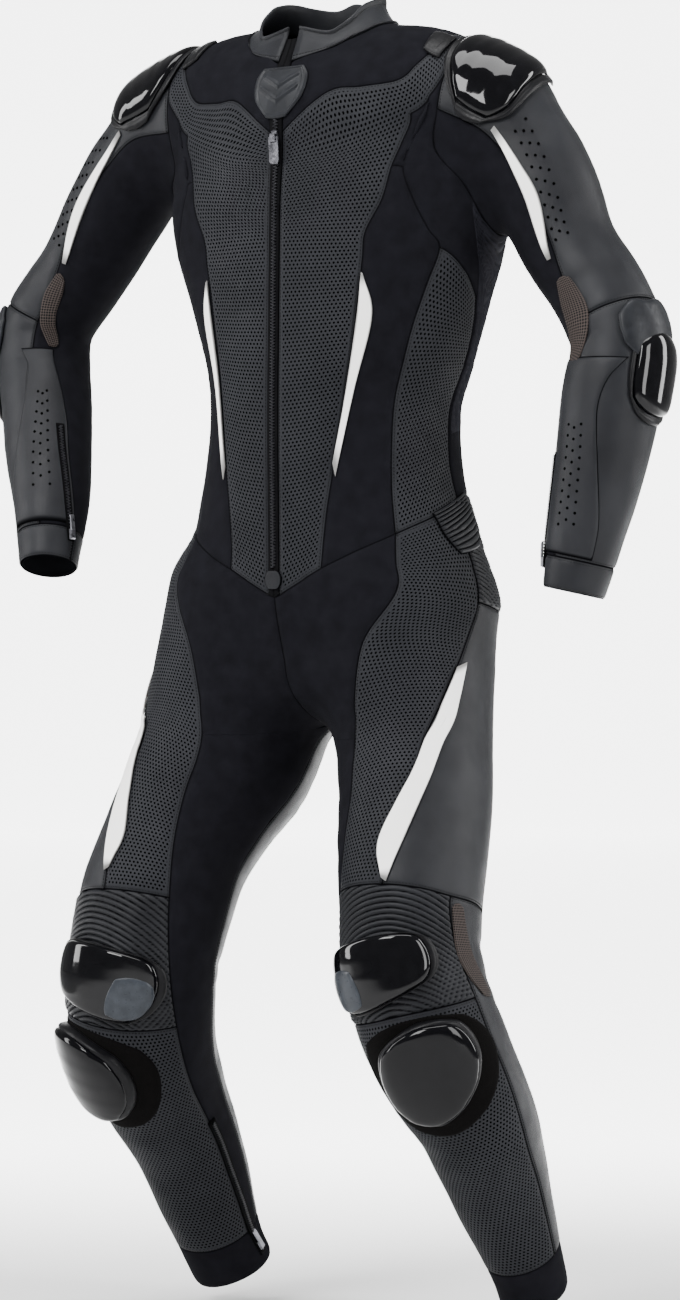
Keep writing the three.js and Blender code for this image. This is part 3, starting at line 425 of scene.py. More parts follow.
def torso_net():
    places = fill_table(TORSO_TABLE, TORSO_ROW_CELLS, TORSO_COL_CELLS)
    points = np.full((len(places), AROUND, 3), np.nan)
    slots, wanted = [], []
    for r in range(len(places)):
        for k in range(AROUND):
            side = 1 if k <= HALF else -1
            m = k if k <= HALF else AROUND - k
            if R["arm"] < r < R["top"] and K["S"] < m < K["B"]:
                continue
            slots.append((r, k))
            wanted.append([side * places[r][m][0], places[r][m][1]])
    for slot, p in zip(slots, on_torso(wanted)):
        points[slot] = p
    rings = {}
    for label, side in SIDES:
        turn = np.radians([row[0] for row in ARMHOLE])
        lean = np.array([row[1] for row in ARMHOLE])
        direction = unit(np.stack([side * lean, -np.cos(turn), np.sin(turn)], 1))
        middle = np.array([side * ARMHOLE_MIDDLE[0], ARMHOLE_MIDDLE[1], ARMHOLE_MIDDLE[2]], float)
        rings[label] = meet(middle, direction)
        for (row, up, col, over), p in zip(ARMHOLE_SLOTS, rings[label]):
            points[R[row] + up, mirrored(K[col] + over, side)] = p
    net = Net(points, True)
    for places in rings.values():
        net.add_ring(places)
    return net, rings


trunk, armholes = torso_net()

# Leg seams, each entry the part of the leg's length and the turn round it
LEG_ROWS = [
    "waist", "inset", "hip", "seat", "crotch", "thigh", "knee_top", "knee_low", "shin", "calf", "hem", "end",
]
LEG_ROW_CELLS = [2, 1, 1, 2, 2, 2, 3, 2, 2, 2, 1]
LEG_TABLE = [
    [None, [-0.072, 24], [-0.069, 86], [-0.069, 106], [-0.066, 132], None],
    [None, [0.002, 26], [0.008, 84], [0.010, 105], [0.010, 130], None],
    [None, [0.070, 6], [0.074, 74], [0.074, 100], [0.074, 128], None],
    [None, [0.140, -6], [0.136, 60], [0.136, 98], [0.136, 128], None],
    [[0.200, -88], [0.205, -12], [0.200, 46], [0.205, 92], [0.205, 128], [0.200, 272]],
    [[0.290, -92], [0.290, -20], [0.290, 34], [0.290, 84], [0.290, 128], [0.290, 268]],
    [[0.412, -100], [0.408, -42], [0.416, 10], [0.424, 66], [0.420, 122], [0.412, 260]],
    [[0.535, -112], [0.540, -66], [0.540, 10], [0.545, 82], [0.540, 122], [0.535, 248]],
    [[0.650, -112], [0.650, -74], [0.650, 10], [0.650, 84], [0.650, 120], [0.650, 248]],
    [[0.800, -112], [0.800, -78], [0.800, 10], [0.800, 86], [0.800, 120], [0.800, 248]],
    [[0.930, -112], [0.930, -84], [0.930, 8], [0.930, 88], [0.930, 120], [0.930, 248]],
    [[0.994, -112], [0.994, -86], [0.992, 8], [0.990, 88], [0.990, 120], [0.992, 248]],
]
# The seam between the legs: its turn at each row, in front and behind
RISE_FRONT = [0, 6, 24, 50, 88]
RISE_BACK = [180, 170, 152, 126, 88]
RISE_SWAY = 0.05
RISE_MIDDLE = [0, 0, -590.0]
CROTCH = 4
KNEE_DROP = {"left": -0.010, "right": 0.008}
LEG_COL_CELLS = [K["P"], K["S"] - K["P"], K["U"] - K["S"], K["B"] - K["U"], HALF - K["B"]]
C = line_index(["I", "P", "S", "U", "B", "CB"], LEG_COL_CELLS)
L = line_index(LEG_ROWS, LEG_ROW_CELLS)


def on_rise(turn):
    t = math.radians(turn)
    direction = np.array([[RISE_SWAY * math.sin(t), -math.cos(t), -math.sin(t)]])
    return meet(RISE_MIDDLE, unit(direction))


def spread_columns(knots, cells):
    out = []
    for k, count in enumerate(cells):
        a, b = np.array(knots[k], float), np.array(knots[k + 1], float)
        out.extend(a + (b - a) * n / count for n in range(count))
    out.append(np.array(knots[-1], float))
    return np.array(out)


def leg_net(label, side):
    line = legs[label]
    table = []
    for name, row in zip(LEG_ROWS, LEG_TABLE):
        drop = KNEE_DROP[label] if name.startswith("knee") else 0
        table.append([None if entry is None else [entry[0] + drop, entry[1]] for entry in row])

    def place(p, near):
        u, turn = limb_place_of(line, p, side * near)[0]
        return [u, side * turn]

    def places_at(x):
        knots = [through([row[k] for row in table], x) for k in (1, 2, 3, 4)]
        if x <= CROTCH:
            first = place(on_rise(through(RISE_FRONT, min(x, CROTCH))), -60)
        else:
            first = through([row[0] for row in table[CROTCH:]], x - CROTCH)
        if x == CROTCH:
            last = [first[0], first[1] + 360]
        elif x < CROTCH:
            last = place(on_rise(through(RISE_BACK, x)), 220)
        else:
            last = through([row[5] for row in table[CROTCH:]], x - CROTCH)
        return spread_columns([first, *knots, last], LEG_COL_CELLS)

    start = np.array([trunk.at(0, mirrored(k, side)) for k in range(HALF + 1)])
    waist = np.array([place(p[None], 130 if k > HALF / 2 else 20) for k, p in enumerate(start)])
    rows = []
    for x in steps_of(LEG_ROW_CELLS):
        if x == 0:
            rows.append(start)
            continue
        if x < 1:
            places = waist + (places_at(1) - waist) * x
        else:
            places = places_at(x)
        row = on_limb(line, places, side)
        if x <= CROTCH:
            row[0] = on_rise(through(RISE_FRONT, x))[0]
            row[-1] = on_rise(through(RISE_BACK, x))[0]
        rows.append(row)
    return np.array(rows)


# Sleeve rows: the part of the arm's length, how far the row tilts, and the turn of the front seam
SLEEVE_ROWS = ["armhole", "upper", "mid", "low", "elbow_top", "elbow", "elbow_low", "fore", "cuff", "end"]
SLEEVE_ROW_CELLS = [2, 1, 1, 1, 1, 1, 2, 1, 1]
SLEEVE_TABLE = [
    [0.10, 0.100, 2], [0.25, 0.060, 5], [0.34, 0.020, 7], [0.43, 0, -6], [0.52, 0, -20],
    [0.60, 0, -24], [0.68, 0, -18], [0.82, 0, -16], [0.945, 0, -20], [1.00, 0, -20],
]
A = line_index(SLEEVE_ROWS, SLEEVE_ROW_CELLS)
SLEEVE_COL_CELLS = [5, 3, 3, 5]
V = line_index(["A", "F", "T", "K", "end"], SLEEVE_COL_CELLS)


def sleeve_net(label, side):
    line = arms[label]
    ring = armholes[label]

    def places_at(x):
        u, tilt, front = through(SLEEVE_TABLE, x)
        knots = [[u, -90], [u, front], [u, 90], [u, 184], [u, 270]]
        places = spread_columns(knots, SLEEVE_COL_CELLS)[:-1]
        places[:, 0] -= tilt * np.sin(np.radians(places[:, 1]))
        return places

    guess = places_at(1)
    first = np.array([limb_place_of(line, p[None], side * g[1])[0] for p, g in zip(ring, guess)])
    first[:, 1] *= side
    rows = [ring]
    for x in steps_of(SLEEVE_ROW_CELLS)[1:]:
        places = first + (guess - first) * x if x < 1 else places_at(x)
        rows.append(on_limb(line, places, side))
    net = Net(np.array(rows), True)
    net.add_ring(ring)
    return net


def ridge(x, middle, width):
    """A soft hump of height one."""
    return np.exp(-(((x - middle) / width) ** 2))


# Main creases: places, half width, height (a trough is below nought), and the left side's part of it
CREASES = {
    "leg": [
        ([[0.47, -70], [0.48, -110], [0.475, -150]], 8, -2.6, 1.0),
        ([[0.50, -74], [0.515, -112], [0.51, -160]], 7, -2.2, 0.7),
        ([[0.455, 100], [0.47, 140], [0.465, 176]], 8, -2.4, 1.0),
        ([[0.515, 104], [0.53, 146], [0.52, 190]], 9, -3.0, 0.7),
        ([[0.56, 120], [0.575, 160], [0.57, 205]], 8, -2.0, 1.0),
        ([[0.31, -60], [0.34, -38], [0.40, -50]], 9, 1.6, 0.7),
        ([[0.23, -70], [0.27, -40], [0.30, -24]], 8, -1.8, 1.0),
        ([[0.19, -60], [0.225, -30], [0.235, -12]], 7, -1.5, 0.7),
        ([[0.93, -80], [0.945, -20], [0.94, 40]], 5, -1.1, 1.0),
        ([[0.955, -60], [0.968, 10], [0.96, 70]], 4, -0.9, 0.7),
        ([[0.68, -96], [0.72, -110], [0.80, -118]], 9, -1.8, 1.0),
        ([[0.60, 96], [0.66, 112], [0.74, 124]], 9, -1.6, 0.7),
    ],
    "arm": [
        ([[0.42, -40], [0.455, -10], [0.46, 24]], 6, -2.0, 1.0),
        ([[0.49, -60], [0.51, -28], [0.50, 16]], 6, -2.4, 0.7),
        ([[0.545, -70], [0.56, -34], [0.555, 4]], 7, -2.6, 1.0),
        ([[0.60, -64], [0.62, -30], [0.61, 10]], 6, -1.8, 0.7),
        ([[0.44, 60], [0.50, 84], [0.54, 100]], 8, 1.2, 1.0),
        ([[0.20, -60], [0.24, -30], [0.23, -2]], 8, -1.6, 1.0),
        ([[0.72, -30], [0.80, 0], [0.86, 20]], 9, -1.2, 0.7),
        ([[0.74, 60], [0.82, 84], [0.90, 80]], 10, 1.1, 1.0),
        ([[0.26, 150], [0.34, 168], [0.42, 160]], 9, -1.6, 1.0),
    ],
    "torso": [
        ([[49, -30], [56, -70], [57, -130], [52, -180]], 12, -1.6, 1.0),
        ([[60, 16], [70, -10], [74, -50]], 8, -1.5, 0.7),
        ([[66, -180], [74, -220], [86, -240]], 9, -1.4, 1.0),
        ([[30, -250], [44, -262], [64, -250]], 8, -1.3, 0.7),
        ([[128, -40], [140, -80], [150, -140]], 14, -2.0, 1.0),
        ([[126, -190], [146, -214], [170, -216]], 11, -2.2, 0.7),
        ([[122, -236], [140, -256], [164, -262]], 9, -1.8, 1.0),
        ([[120, 20], [136, 6], [152, 0]], 12, -1.6, 0.7),
    ],
}


def crease_field(label, side):
    """Gives a function of places: the height of one side's troughs and ridges.

    On the right the second value of a place changes its sign: the turn on a limb, the level on the torso.
    """
    lines = []
    for kind, rows in CREASES.items():
        for places, width, height, left_part in rows:
            places = np.array(places) * np.array([1, side])
            if kind == "torso":
                points = on_torso(places)
            else:
                points = on_limb(legs[label] if kind == "leg" else arms[label], places)
            lines.append((points, width, height * (left_part if side > 0 else 1.0)))

    def height_at(p):
        out = np.zeros(len(p))
        for points, width, height in lines:
            reach = 3 * width
            here = np.where(np.all((p > points.min(0) - reach) & (p < points.max(0) + reach), axis=1))[0]
            if not len(here):
                continue
            index, part, far = nearest_on(points, p[here])
            where = (index + part) / (len(points) - 1)
            taper = np.sin(np.pi * np.clip(where * 0.94 + 0.03, 0, 1)) ** 0.7
            out[here] += height * taper * ridge(np.sqrt(far), 0, width)
        return out

    return height_at


all_creases = {label: crease_field(label, side) for label, side in SIDES}


def both_creases(p):
    return all_creases["left"](p) + all_creases["right"](p)


def ripple(p):
    """Slow unevenness of worn leather, under half a millimetre."""
    x, y, z = p[:, 0], p[:, 1], p[:, 2]
    a = np.sin(0.043 * x + 0.031 * z + 1.3) * np.sin(0.037 * y - 0.052 * z + 0.4)
    b = np.sin(0.11 * x - 0.07 * z + 2.1) * np.sin(0.09 * y + 0.083 * z)
    return 0.35 * a + 0.16 * b


def add_mesh(name, points, faces, look, uv=None, seam=None):
    """Makes a piece from places in millimetres; a look is a slot's name, which is not used, and a material.

    A piece with a surface pattern has its outer places first and then as many inner ones. Its uv is given
    in millimetres, and its seam is the distance from the nearest seam or valley; the materials paint shade
    where it is small.
    """
    slot_name, material = look
    mesh = bpy.data.meshes.new(name)
    mesh.from_pydata((np.asarray(points) * 0.001).tolist(), [], [list(map(int, f)) for f in faces])
    if uv is not None:
        layer = mesh.uv_layers.new(name="cloth")
        loops = np.empty(len(mesh.loops), int)
        mesh.loops.foreach_get("vertex_index", loops)
        layer.data.foreach_set("uv", np.tile(uv, (2, 1)).astype(np.float32)[loops].ravel())
        attribute = mesh.attributes.new("seam", "FLOAT", "POINT")
        attribute.data.foreach_set("value", np.tile(seam, 2).astype(np.float32))
        mesh.polygons.foreach_set("use_smooth", [True] * len(mesh.polygons))
    obj = bpy.data.objects.new(name, mesh)
    bpy.context.scene.collection.objects.link(obj)
    mesh.materials.append(material)
    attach(obj, "suit")
    return obj


def vertex_normals(points, faces):
    a = points[faces[:, 2]] - points[faces[:, 0]]
    b = points[faces[:, 3]] - points[faces[:, 1]]
    n = np.cross(a, b)
    out = np.zeros_like(points)
    for i in range(4):
        np.add.at(out, faces[:, i], n)
    return unit(out)


SETTLE_ROUNDS = 2


def settle(points, faces):
    """Moves places onto the suit's surface; gives them with their outward normals."""
    n = vertex_normals(points, faces)
    probe = np.linspace(0, len(points) - 1, min(40, len(points))).astype(int)
    if suit(points[probe] + 3 * n[probe]).sum() < suit(points[probe] - 3 * n[probe]).sum():
        faces = faces[:, ::-1]
        n = -n
    for _ in range(SETTLE_ROUNDS):
        points = points - suit(points)[:, None] * n
        n = vertex_normals(points, faces)
    return points, n, faces


def border_of(faces):
    """Edges used by one face only, in the direction of that face."""
    edges = np.concatenate([np.stack([faces[:, i], faces[:, (i + 1) % 4]], 1) for i in range(4)])
    seen = set(map(tuple, edges.tolist()))
    return np.array([e for e in edges.tolist() if (e[1], e[0]) not in seen])


def shell(outer, inner, faces):
    """Closes an outer and an inner sheet with a rim; gives all places and faces."""
    count = len(outer)
    a, b = border_of(faces).T
    rim = np.stack([b, a, a + count, b + count], 1)
    return np.concatenate([outer, inner]), np.concatenate([faces, faces[:, ::-1] + count, rim])


# Extra steps beside a seam, in millimetres from it
SEAM_STEPS = (1.1, 2.6)


def steps_for(length, size, tight_low, tight_high):
    """Even steps over one cell, with extra ones beside the seams."""
    count = max(int(math.ceil(length / size)), 1)
    values = set(np.round(np.linspace(0, 1, count + 1), 5))
    for gap in SEAM_STEPS:
        if tight_low and gap / length < 0.3:
            values.add(round(gap / length, 5))
        if tight_high and gap / length < 0.3:
            values.add(round(1 - gap / length, 5))
    return np.array(sorted(values))


class Panel:
    """A fine sheet over chosen cells of a net."""

    def __init__(self, net, blocks, size=6.0, row_size=None):
        k_low = min(b[0] for b in blocks)
        k_high = max(b[1] for b in blocks)
        r_low = min(b[2] for b in blocks)
        r_high = max(b[3] for b in blocks)
        chosen = {(r, k) for k0, k1, r0, r1 in blocks for r in range(r0, r1) for k in range(k0, k1)}
        k_edges = {b[0] for b in blocks} | {b[1] for b in blocks}
        r_edges = {b[2] for b in blocks} | {b[3] for b in blocks}

        def mean_length(pairs):
            gaps = [np.linalg.norm(net.at(*a) - net.at(*b)) for a, b in pairs]
            gaps = [g for g in gaps if not np.isnan(g)]
            return float(np.mean(gaps))

        s_steps, t_steps = [], []
        for k in range(k_low, k_high):
            rows = [r for r in range(r_low, r_high) if (r, k) in chosen]
            length = mean_length([((r, k), (r, k + 1)) for r in rows + [rows[-1] + 1]])
            s_steps.append(steps_for(length, size, k in k_edges, k + 1 in k_edges))
        for r in range(r_low, r_high):
            cols = [k for k in range(k_low, k_high) if (r, k) in chosen]
            length = mean_length([((r, k), (r + 1, k)) for k in cols + [cols[-1] + 1]])
            t_steps.append(steps_for(length, row_size or size, r in r_edges, r + 1 in r_edges))
        s_at = np.concatenate([[0], np.cumsum([len(s) - 1 for s in s_steps])])
        t_at = np.concatenate([[0], np.cumsum([len(t) - 1 for t in t_steps])])
        grid = np.full((t_at[-1] + 1, s_at[-1] + 1, 3), np.nan)
        quads = np.zeros((t_at[-1], s_at[-1]), bool)
        row_of = np.concatenate([[r_low]] + [r_low + n + t[1:] for n, t in enumerate(t_steps)])
        col_of = np.concatenate([[k_low]] + [k_low + n + s[1:] for n, s in enumerate(s_steps)])
        for r, k in sorted(chosen):
            t0, t1 = t_at[r - r_low], t_at[r - r_low + 1]
            s0, s1 = s_at[k - k_low], s_at[k - k_low + 1]
            grid[t0:t1 + 1, s0:s1 + 1] = net.cell(r, k, s_steps[k - k_low], t_steps[r - r_low])
            quads[t0:t1, s0:s1] = True
        order = np.full(grid.shape[:2], -1)
        used = ~np.isnan(grid[:, :, 0])
        order[used] = np.arange(used.sum())
        i, j = np.where(quads)
        faces = np.stack([order[i, j], order[i, j + 1], order[i + 1, j + 1], order[i + 1, j]], 1)
        self.grid_shape = grid.shape[:2]
        self.used = used
        self.row = np.repeat(row_of[:, None], grid.shape[1], 1)[used]
        self.col = np.repeat(col_of[None, :], grid.shape[0], 0)[used]
        self.points, self.normals, self.faces = settle(grid[used], faces)
        self.border = border_of(self.faces)
        self.measure()

    def measure(self):
        """Lengths along the rows and down the columns, for the cut size and the surface pattern."""
        grid = np.full(self.grid_shape + (3,), np.nan)
        grid[self.used] = self.points
        step_k = np.linalg.norm(np.diff(grid, axis=1), axis=2)
        step_r = np.linalg.norm(np.diff(grid, axis=0), axis=2)
        u = np.concatenate([np.zeros((len(grid), 1)), np.cumsum(np.nan_to_num(step_k), 1)], 1)
        down = np.nanmean(step_r, axis=1)
        v = np.concatenate([[0], np.cumsum(down)])
        self.uv = np.stack([u[self.used], np.repeat(v[:, None], grid.shape[1], 1)[self.used]], 1)
        self.width = float(np.nan_to_num(step_k).sum(1).max())
        self.length = float(np.nan_to_num(step_r).sum(0).max())

    def edge_gap(self, open_row=None):
        """Distance of each place from the nearest seam. A row named open runs on into the next panel."""
        edges = self.border
        if open_row is not None:
            on_row = np.abs(self.row[edges] - open_row).max(1) < 1e-6
            edges = edges[~on_row]
        a, b = self.points[edges[:, 0]], self.points[edges[:, 1]]
        marks = np.concatenate([a + (b - a) * t for t in (0, 0.25, 0.5, 0.75)])
        tree = kdtree.KDTree(len(marks))
        for i, p in enumerate(marks):
            tree.insert(p, i)
        tree.balance()
        return np.array([tree.find(p)[2] for p in self.points])


def face_area(points, faces):
    a = points[faces[:, 2]] - points[faces[:, 0]]
    b = points[faces[:, 3]] - points[faces[:, 1]]
    return float(np.linalg.norm(np.cross(a, b), axis=1).sum() / 2)


# A cut: its least width in metres, and the least part of its rectangle that it fills
NARROWEST = 0.012
LEAST_FILL = 0.34


def declare_cloth(width, length, area):
    """Works out a cut's width and length round the panel, and its area from the sewn form, in metres;
    nothing is kept or returned.
    """
    area = area * 1e-6
    width = max(width * 0.001, NARROWEST)
    length = max(length * 0.001, NARROWEST, area / width * 1.01)
    width = min(width, max(area / length / LEAST_FILL, NARROWEST))
    length = min(length, max(area / width / LEAST_FILL, NARROWEST))


# Materials, all procedural
def feed(tree, socket, value):
    """Sets a socket to a number or colour, or links a value to it."""
    if isinstance(value, Value):
        tree.links.new(value.socket, socket)
    else:
        socket.default_value = value


class Value:
    """A number or colour that shader nodes work out."""

    def __init__(self, look, socket):
        self.look = look
        self.socket = socket

    def math(self, operation, other=None):
        inputs = {0: self} if other is None else {0: self, 1: other}
        return self.look.node("Math", inputs, operation=operation)

    def __add__(self, other):
        return self.math("ADD", other)

    def __sub__(self, other):
        return self.math("SUBTRACT", other)

    def __mul__(self, other):
        return self.math("MULTIPLY", other)

    def __truediv__(self, other):
        return self.math("DIVIDE", other)

    def spread(self, low, high, to_low=0.0, to_high=1.0, smooth=False):
        ends = {"From Min": low, "From Max": high, "To Min": to_low, "To Max": to_high}
        kind = "SMOOTHSTEP" if smooth else "LINEAR"
        return self.look.node("MapRange", {"Value": self, **ends}, interpolation_type=kind)


# Perforation: pitch, part of it between rows, radius, softness of the edge, and distance kept from a seam
HOLE_PITCH = 4.5
HOLE_ROW = 0.866
HOLE_RADIUS = 1.15
HOLE_EDGE = 0.25
HOLE_CLEAR = (4.5, 5.5)
FULL_TURN = 2 * math.pi


def tint(base, part):
    return tuple(part * c for c in base)


class Look:
    """A material and the patterns that its nodes are made of."""

    def __init__(self, name, base, roughness, **values):
        self.material = bpy.data.materials.new(name)
        self.material.use_nodes = True
        self.tree = self.material.node_tree
        self.set(Base_Color=(*base, 1), Roughness=roughness, **values)

    def set(self, **values):
        body = self.tree.nodes["Principled BSDF"]
        for key, value in values.items():
            feed(self.tree, body.inputs[key.replace("_", " ")], value)

    def node(self, kind, inputs, out=0, **settings):
        node = self.tree.nodes.new("ShaderNode" + kind)
        for key, value in settings.items():
            setattr(node, key, value)
        for key, value in inputs.items():
            feed(self.tree, node.inputs[key], value)
        return Value(self, node.outputs[out])

    def place(self):
        return self.node("TexCoord", {}, "Object")

    def noise(self, scale, detail=3.0, rough=0.55):
        settings = {"Scale": scale, "Detail": detail, "Roughness": rough}
        return self.node("TexNoise", {"Vector": self.place(), **settings})

    def axes(self, vector):
        split = self.node("SeparateXYZ", {0: vector}).socket.node
        return [Value(self, socket) for socket in split.outputs]

    def cloth(self):
        """Millimetres across and down the cloth."""
        across, down, _ = self.axes(self.node("UVMap", {}, uv_map="cloth"))
        return across, down

    def seam(self):
        """Millimetres from the nearest seam or valley."""
        return self.node("Attribute", {}, "Fac", attribute_name="seam")

    def painted_fold_shade(self):
        """Painted shade: one in a seam's crease or a rib's valley, nought beside it."""
        return self.seam().spread(0.2, 1.5, 1.0, 0.0, True)

    def mix(self, amount, a, b):
        a, b = [c if isinstance(c, Value) else (*c, 1) for c in (a, b)]
        return self.node("Mix", {0: amount, 6: a, 7: b}, 2, data_type="RGBA")

    def bump(self, height, strength, distance):
        self.set(Normal=self.node("Bump", {"Height": height, "Strength": strength, "Distance": distance}))

    def holes(self):
        """Staggered rows of small holes over the cloth's own lengths, clear of the seams."""
        u, v = self.cloth()
        y = v / (HOLE_PITCH * HOLE_ROW)
        odd = y.math("FLOOR").math("ABSOLUTE").math("MODULO", 2.0)
        across = (u / HOLE_PITCH + odd * 0.5).math("FRACT") - 0.5
        down = (y.math("FRACT") - 0.5) * HOLE_ROW
        away = (across * across + down * down).math("SQRT") * HOLE_PITCH
        hole = away.spread(HOLE_RADIUS - HOLE_EDGE, HOLE_RADIUS + HOLE_EDGE, 1.0, 0.0, True)
        return hole * self.seam().spread(*HOLE_CLEAR)


def leather(name, base, worn, roughness, shine, pierced=False):
    look = Look(name, base, roughness, Specular_IOR_Level=shine)
    colour = look.mix(look.noise(14.0, 4.0).spread(0.35, 0.7), base, worn)
    painted_fold_shade = look.painted_fold_shade()
    # Painted shade: the leather darkens to a tenth of its colour in seam creases and rib valleys.
    colour = look.mix(painted_fold_shade * 0.9, colour, tint(base, 0.1))
    grain = look.node("TexVoronoi", {"Scale": 900.0, "Vector": look.place()}, feature="DISTANCE_TO_EDGE")
    height = grain.spread(0.0, 0.25)
    shade_and_holes = painted_fold_shade
    if pierced:
        holes = look.holes()
        colour = look.mix(holes, colour, tint(base, 0.05))
        height = height - holes * 5.0
        shade_and_holes = painted_fold_shade.math("MAXIMUM", holes)
    gloss = look.noise(42.0, 2.0).spread(0.3, 0.7, roughness - 0.06, roughness + 0.08)
    # Painted shade in seam creases and rib valleys: no reflection there and a rougher surface; the holes get
    # the same.
    shine = shade_and_holes.spread(0.0, 1.0, shine, 0.0)
    look.set(Base_Color=colour, Roughness=gloss + shade_and_holes * 0.45, Specular_IOR_Level=shine)
    look.bump(height, 0.22, 0.0004)
    return look.material


def weave(name, base, lift, roughness, sheen, pitch=0.6):
    look = Look(name, base, roughness, Specular_IOR_Level=0.03, Sheen_Weight=sheen, Sheen_Roughness=0.45)
    u, v = look.cloth()
    thread = (u * (FULL_TURN / pitch)).math("SINE") * (v * (FULL_TURN / (pitch * 0.8))).math("SINE")
    colour = look.mix(look.noise(60.0).spread(0.3, 0.7), base, lift)
    # Painted shade: the cloth darkens toward three tenths of its colour where the seam attribute is small,
    # in seam creases and rib valleys; pieces without that attribute, such as the stitches, are darkened all
    # over.
    look.set(Base_Color=look.mix(look.painted_fold_shade() * 0.7, colour, tint(base, 0.3)))
    look.bump(thread, 0.15, 0.0003)
    return look.material


def moulded(name, base, roughness, coat=0.0, scuff=0.05, shine=0.25, metal=0.0):
    values = {"Metallic": metal, "Coat_Weight": coat, "Coat_Roughness": 0.05, "Specular_IOR_Level": shine}
    look = Look(name, base, roughness, **values)
    worn = tuple(min(1.5 * c + 0.0005, 1) for c in base)
    marks = look.noise(260.0, 2.0).spread(0.35, 0.7, max(roughness - scuff, 0.02), roughness + scuff)
    look.set(Base_Color=look.mix(look.noise(90.0, 5.0).spread(0.4, 0.75), base, worn), Roughness=marks)
    look.bump(look.noise(1400.0, 2.0), 0.03, 0.0002)
    return look.material


def open_mesh(name, thread, gap, pitch):
    look = Look(name, thread, 0.7, Specular_IOR_Level=0.1)
    u, v = look.cloth()
    step = FULL_TURN / pitch
    eyes = (((u + v) * step).math("SINE") * ((u - v) * step).math("SINE")).spread(-0.1, 0.25)
    look.set(Base_Color=look.mix(eyes, thread, gap))
    look.bump(eyes, 0.5, -0.0006)
    return look.material


def hooks(name, base, lift):
    look = Look(name, base, 0.9, Specular_IOR_Level=0.02, Sheen_Weight=0.005)
    fuzz = look.noise(1500.0, 4.0, 0.7)
    look.set(Base_Color=look.mix(fuzz.spread(0.35, 0.65), base, lift))
    look.bump(fuzz, 0.6, 0.0008)
    return look.material


BLACK_PLASTIC = (0.0015, 0.0015, 0.002)
PERFORATED = leather(
    "perforated_leather", (0.0125, 0.0131, 0.0152), (0.0175, 0.0182, 0.0210), 0.5, 0.05, pierced=True,
)
SMOOTH = leather("smooth_leather", (0.0080, 0.0084, 0.0100), (0.0140, 0.0147, 0.0170), 0.42, 0.12)
WHITE = leather("white_leather", (0.92, 0.91, 0.89), (0.96, 0.95, 0.93), 0.42, 0.12)
STRETCH = weave("stretch_cloth", (0.0042, 0.0042, 0.0055), (0.0062, 0.0062, 0.0082), 0.9, 0.002)
# Painted light: the ribbed stretch cloth is a lighter copy of the plain one, standing in for the light its
# ribs catch.
RIBBED_PAINTED_LIGHT = weave("ribbed_stretch_cloth", (0.0100, 0.0100, 0.0135), (0.0140, 0.0140, 0.0185), 0.7, 0.008)
TAPE = weave("zip_tape_cloth", (0.002, 0.002, 0.0025), (0.004, 0.004, 0.0045), 0.85, 0.003)
GLOSS = moulded("gloss_plastic", BLACK_PLASTIC, 0.07, 0.35, 0.03, 0.06)
PUCK = moulded("slider_plastic", BLACK_PLASTIC, 0.09, 0.22, 0.03, 0.05)
INSERT = moulded("insert_plastic", (0.021, 0.024, 0.029), 0.32, shine=0.15)
RUBBER = moulded("frame_rubber", (0.003, 0.003, 0.0036), 0.42, 0.0, 0.08, 0.12)
BADGE_RUBBER = moulded("badge_rubber_grey", (0.0085, 0.0092, 0.0110), 0.45, 0.0, 0.08, 0.12)
METAL = moulded("zip_metal", (0.20, 0.20, 0.22), 0.34, 0.0, 0.08, metal=1.0)
TOOTH = moulded("zip_teeth", (0.012, 0.012, 0.014), 0.32, shine=0.2)
THREAD = weave("thread", (0.012, 0.012, 0.013), (0.020, 0.020, 0.021), 0.6, 0.0, 0.5)
ARAMID = open_mesh("vent_mesh", (0.040, 0.031, 0.028), (0.0015, 0.0014, 0.0014), 5.0)
HOOKS = hooks("hook_panel", (0.0012, 0.0011, 0.0011), (0.0040, 0.0037, 0.0036))
DARK_HOLE = moulded("hole_shadow", (0.0004, 0.0004, 0.0004), 0.85, shine=0.0)

# Looks: the slot's name and the material
SMOOTH_LEATHER = ("leather_smooth", SMOOTH)
PERFORATED_LEATHER = ("leather_perforated", PERFORATED)
WHITE_LEATHER = ("leather_white", WHITE)
STRETCH_CLOTH = ("stretch_fabric", STRETCH)
ZIP_CLOTH = ("zip_cloth", TAPE)
VENT_CLOTH = ("zip_cloth", ARAMID)


# The sewn edge: how deep it dips and how wide, where creases start, and the cloth's wall
SEAM_DIP = 1.3
SEAM_WIDTH = 2.2
CREASE_START = 12
WALL = 1.5
# Out of a valley by more than any rib: a place without ribs
NO_VALLEY = 9.0
stitched_panels = []


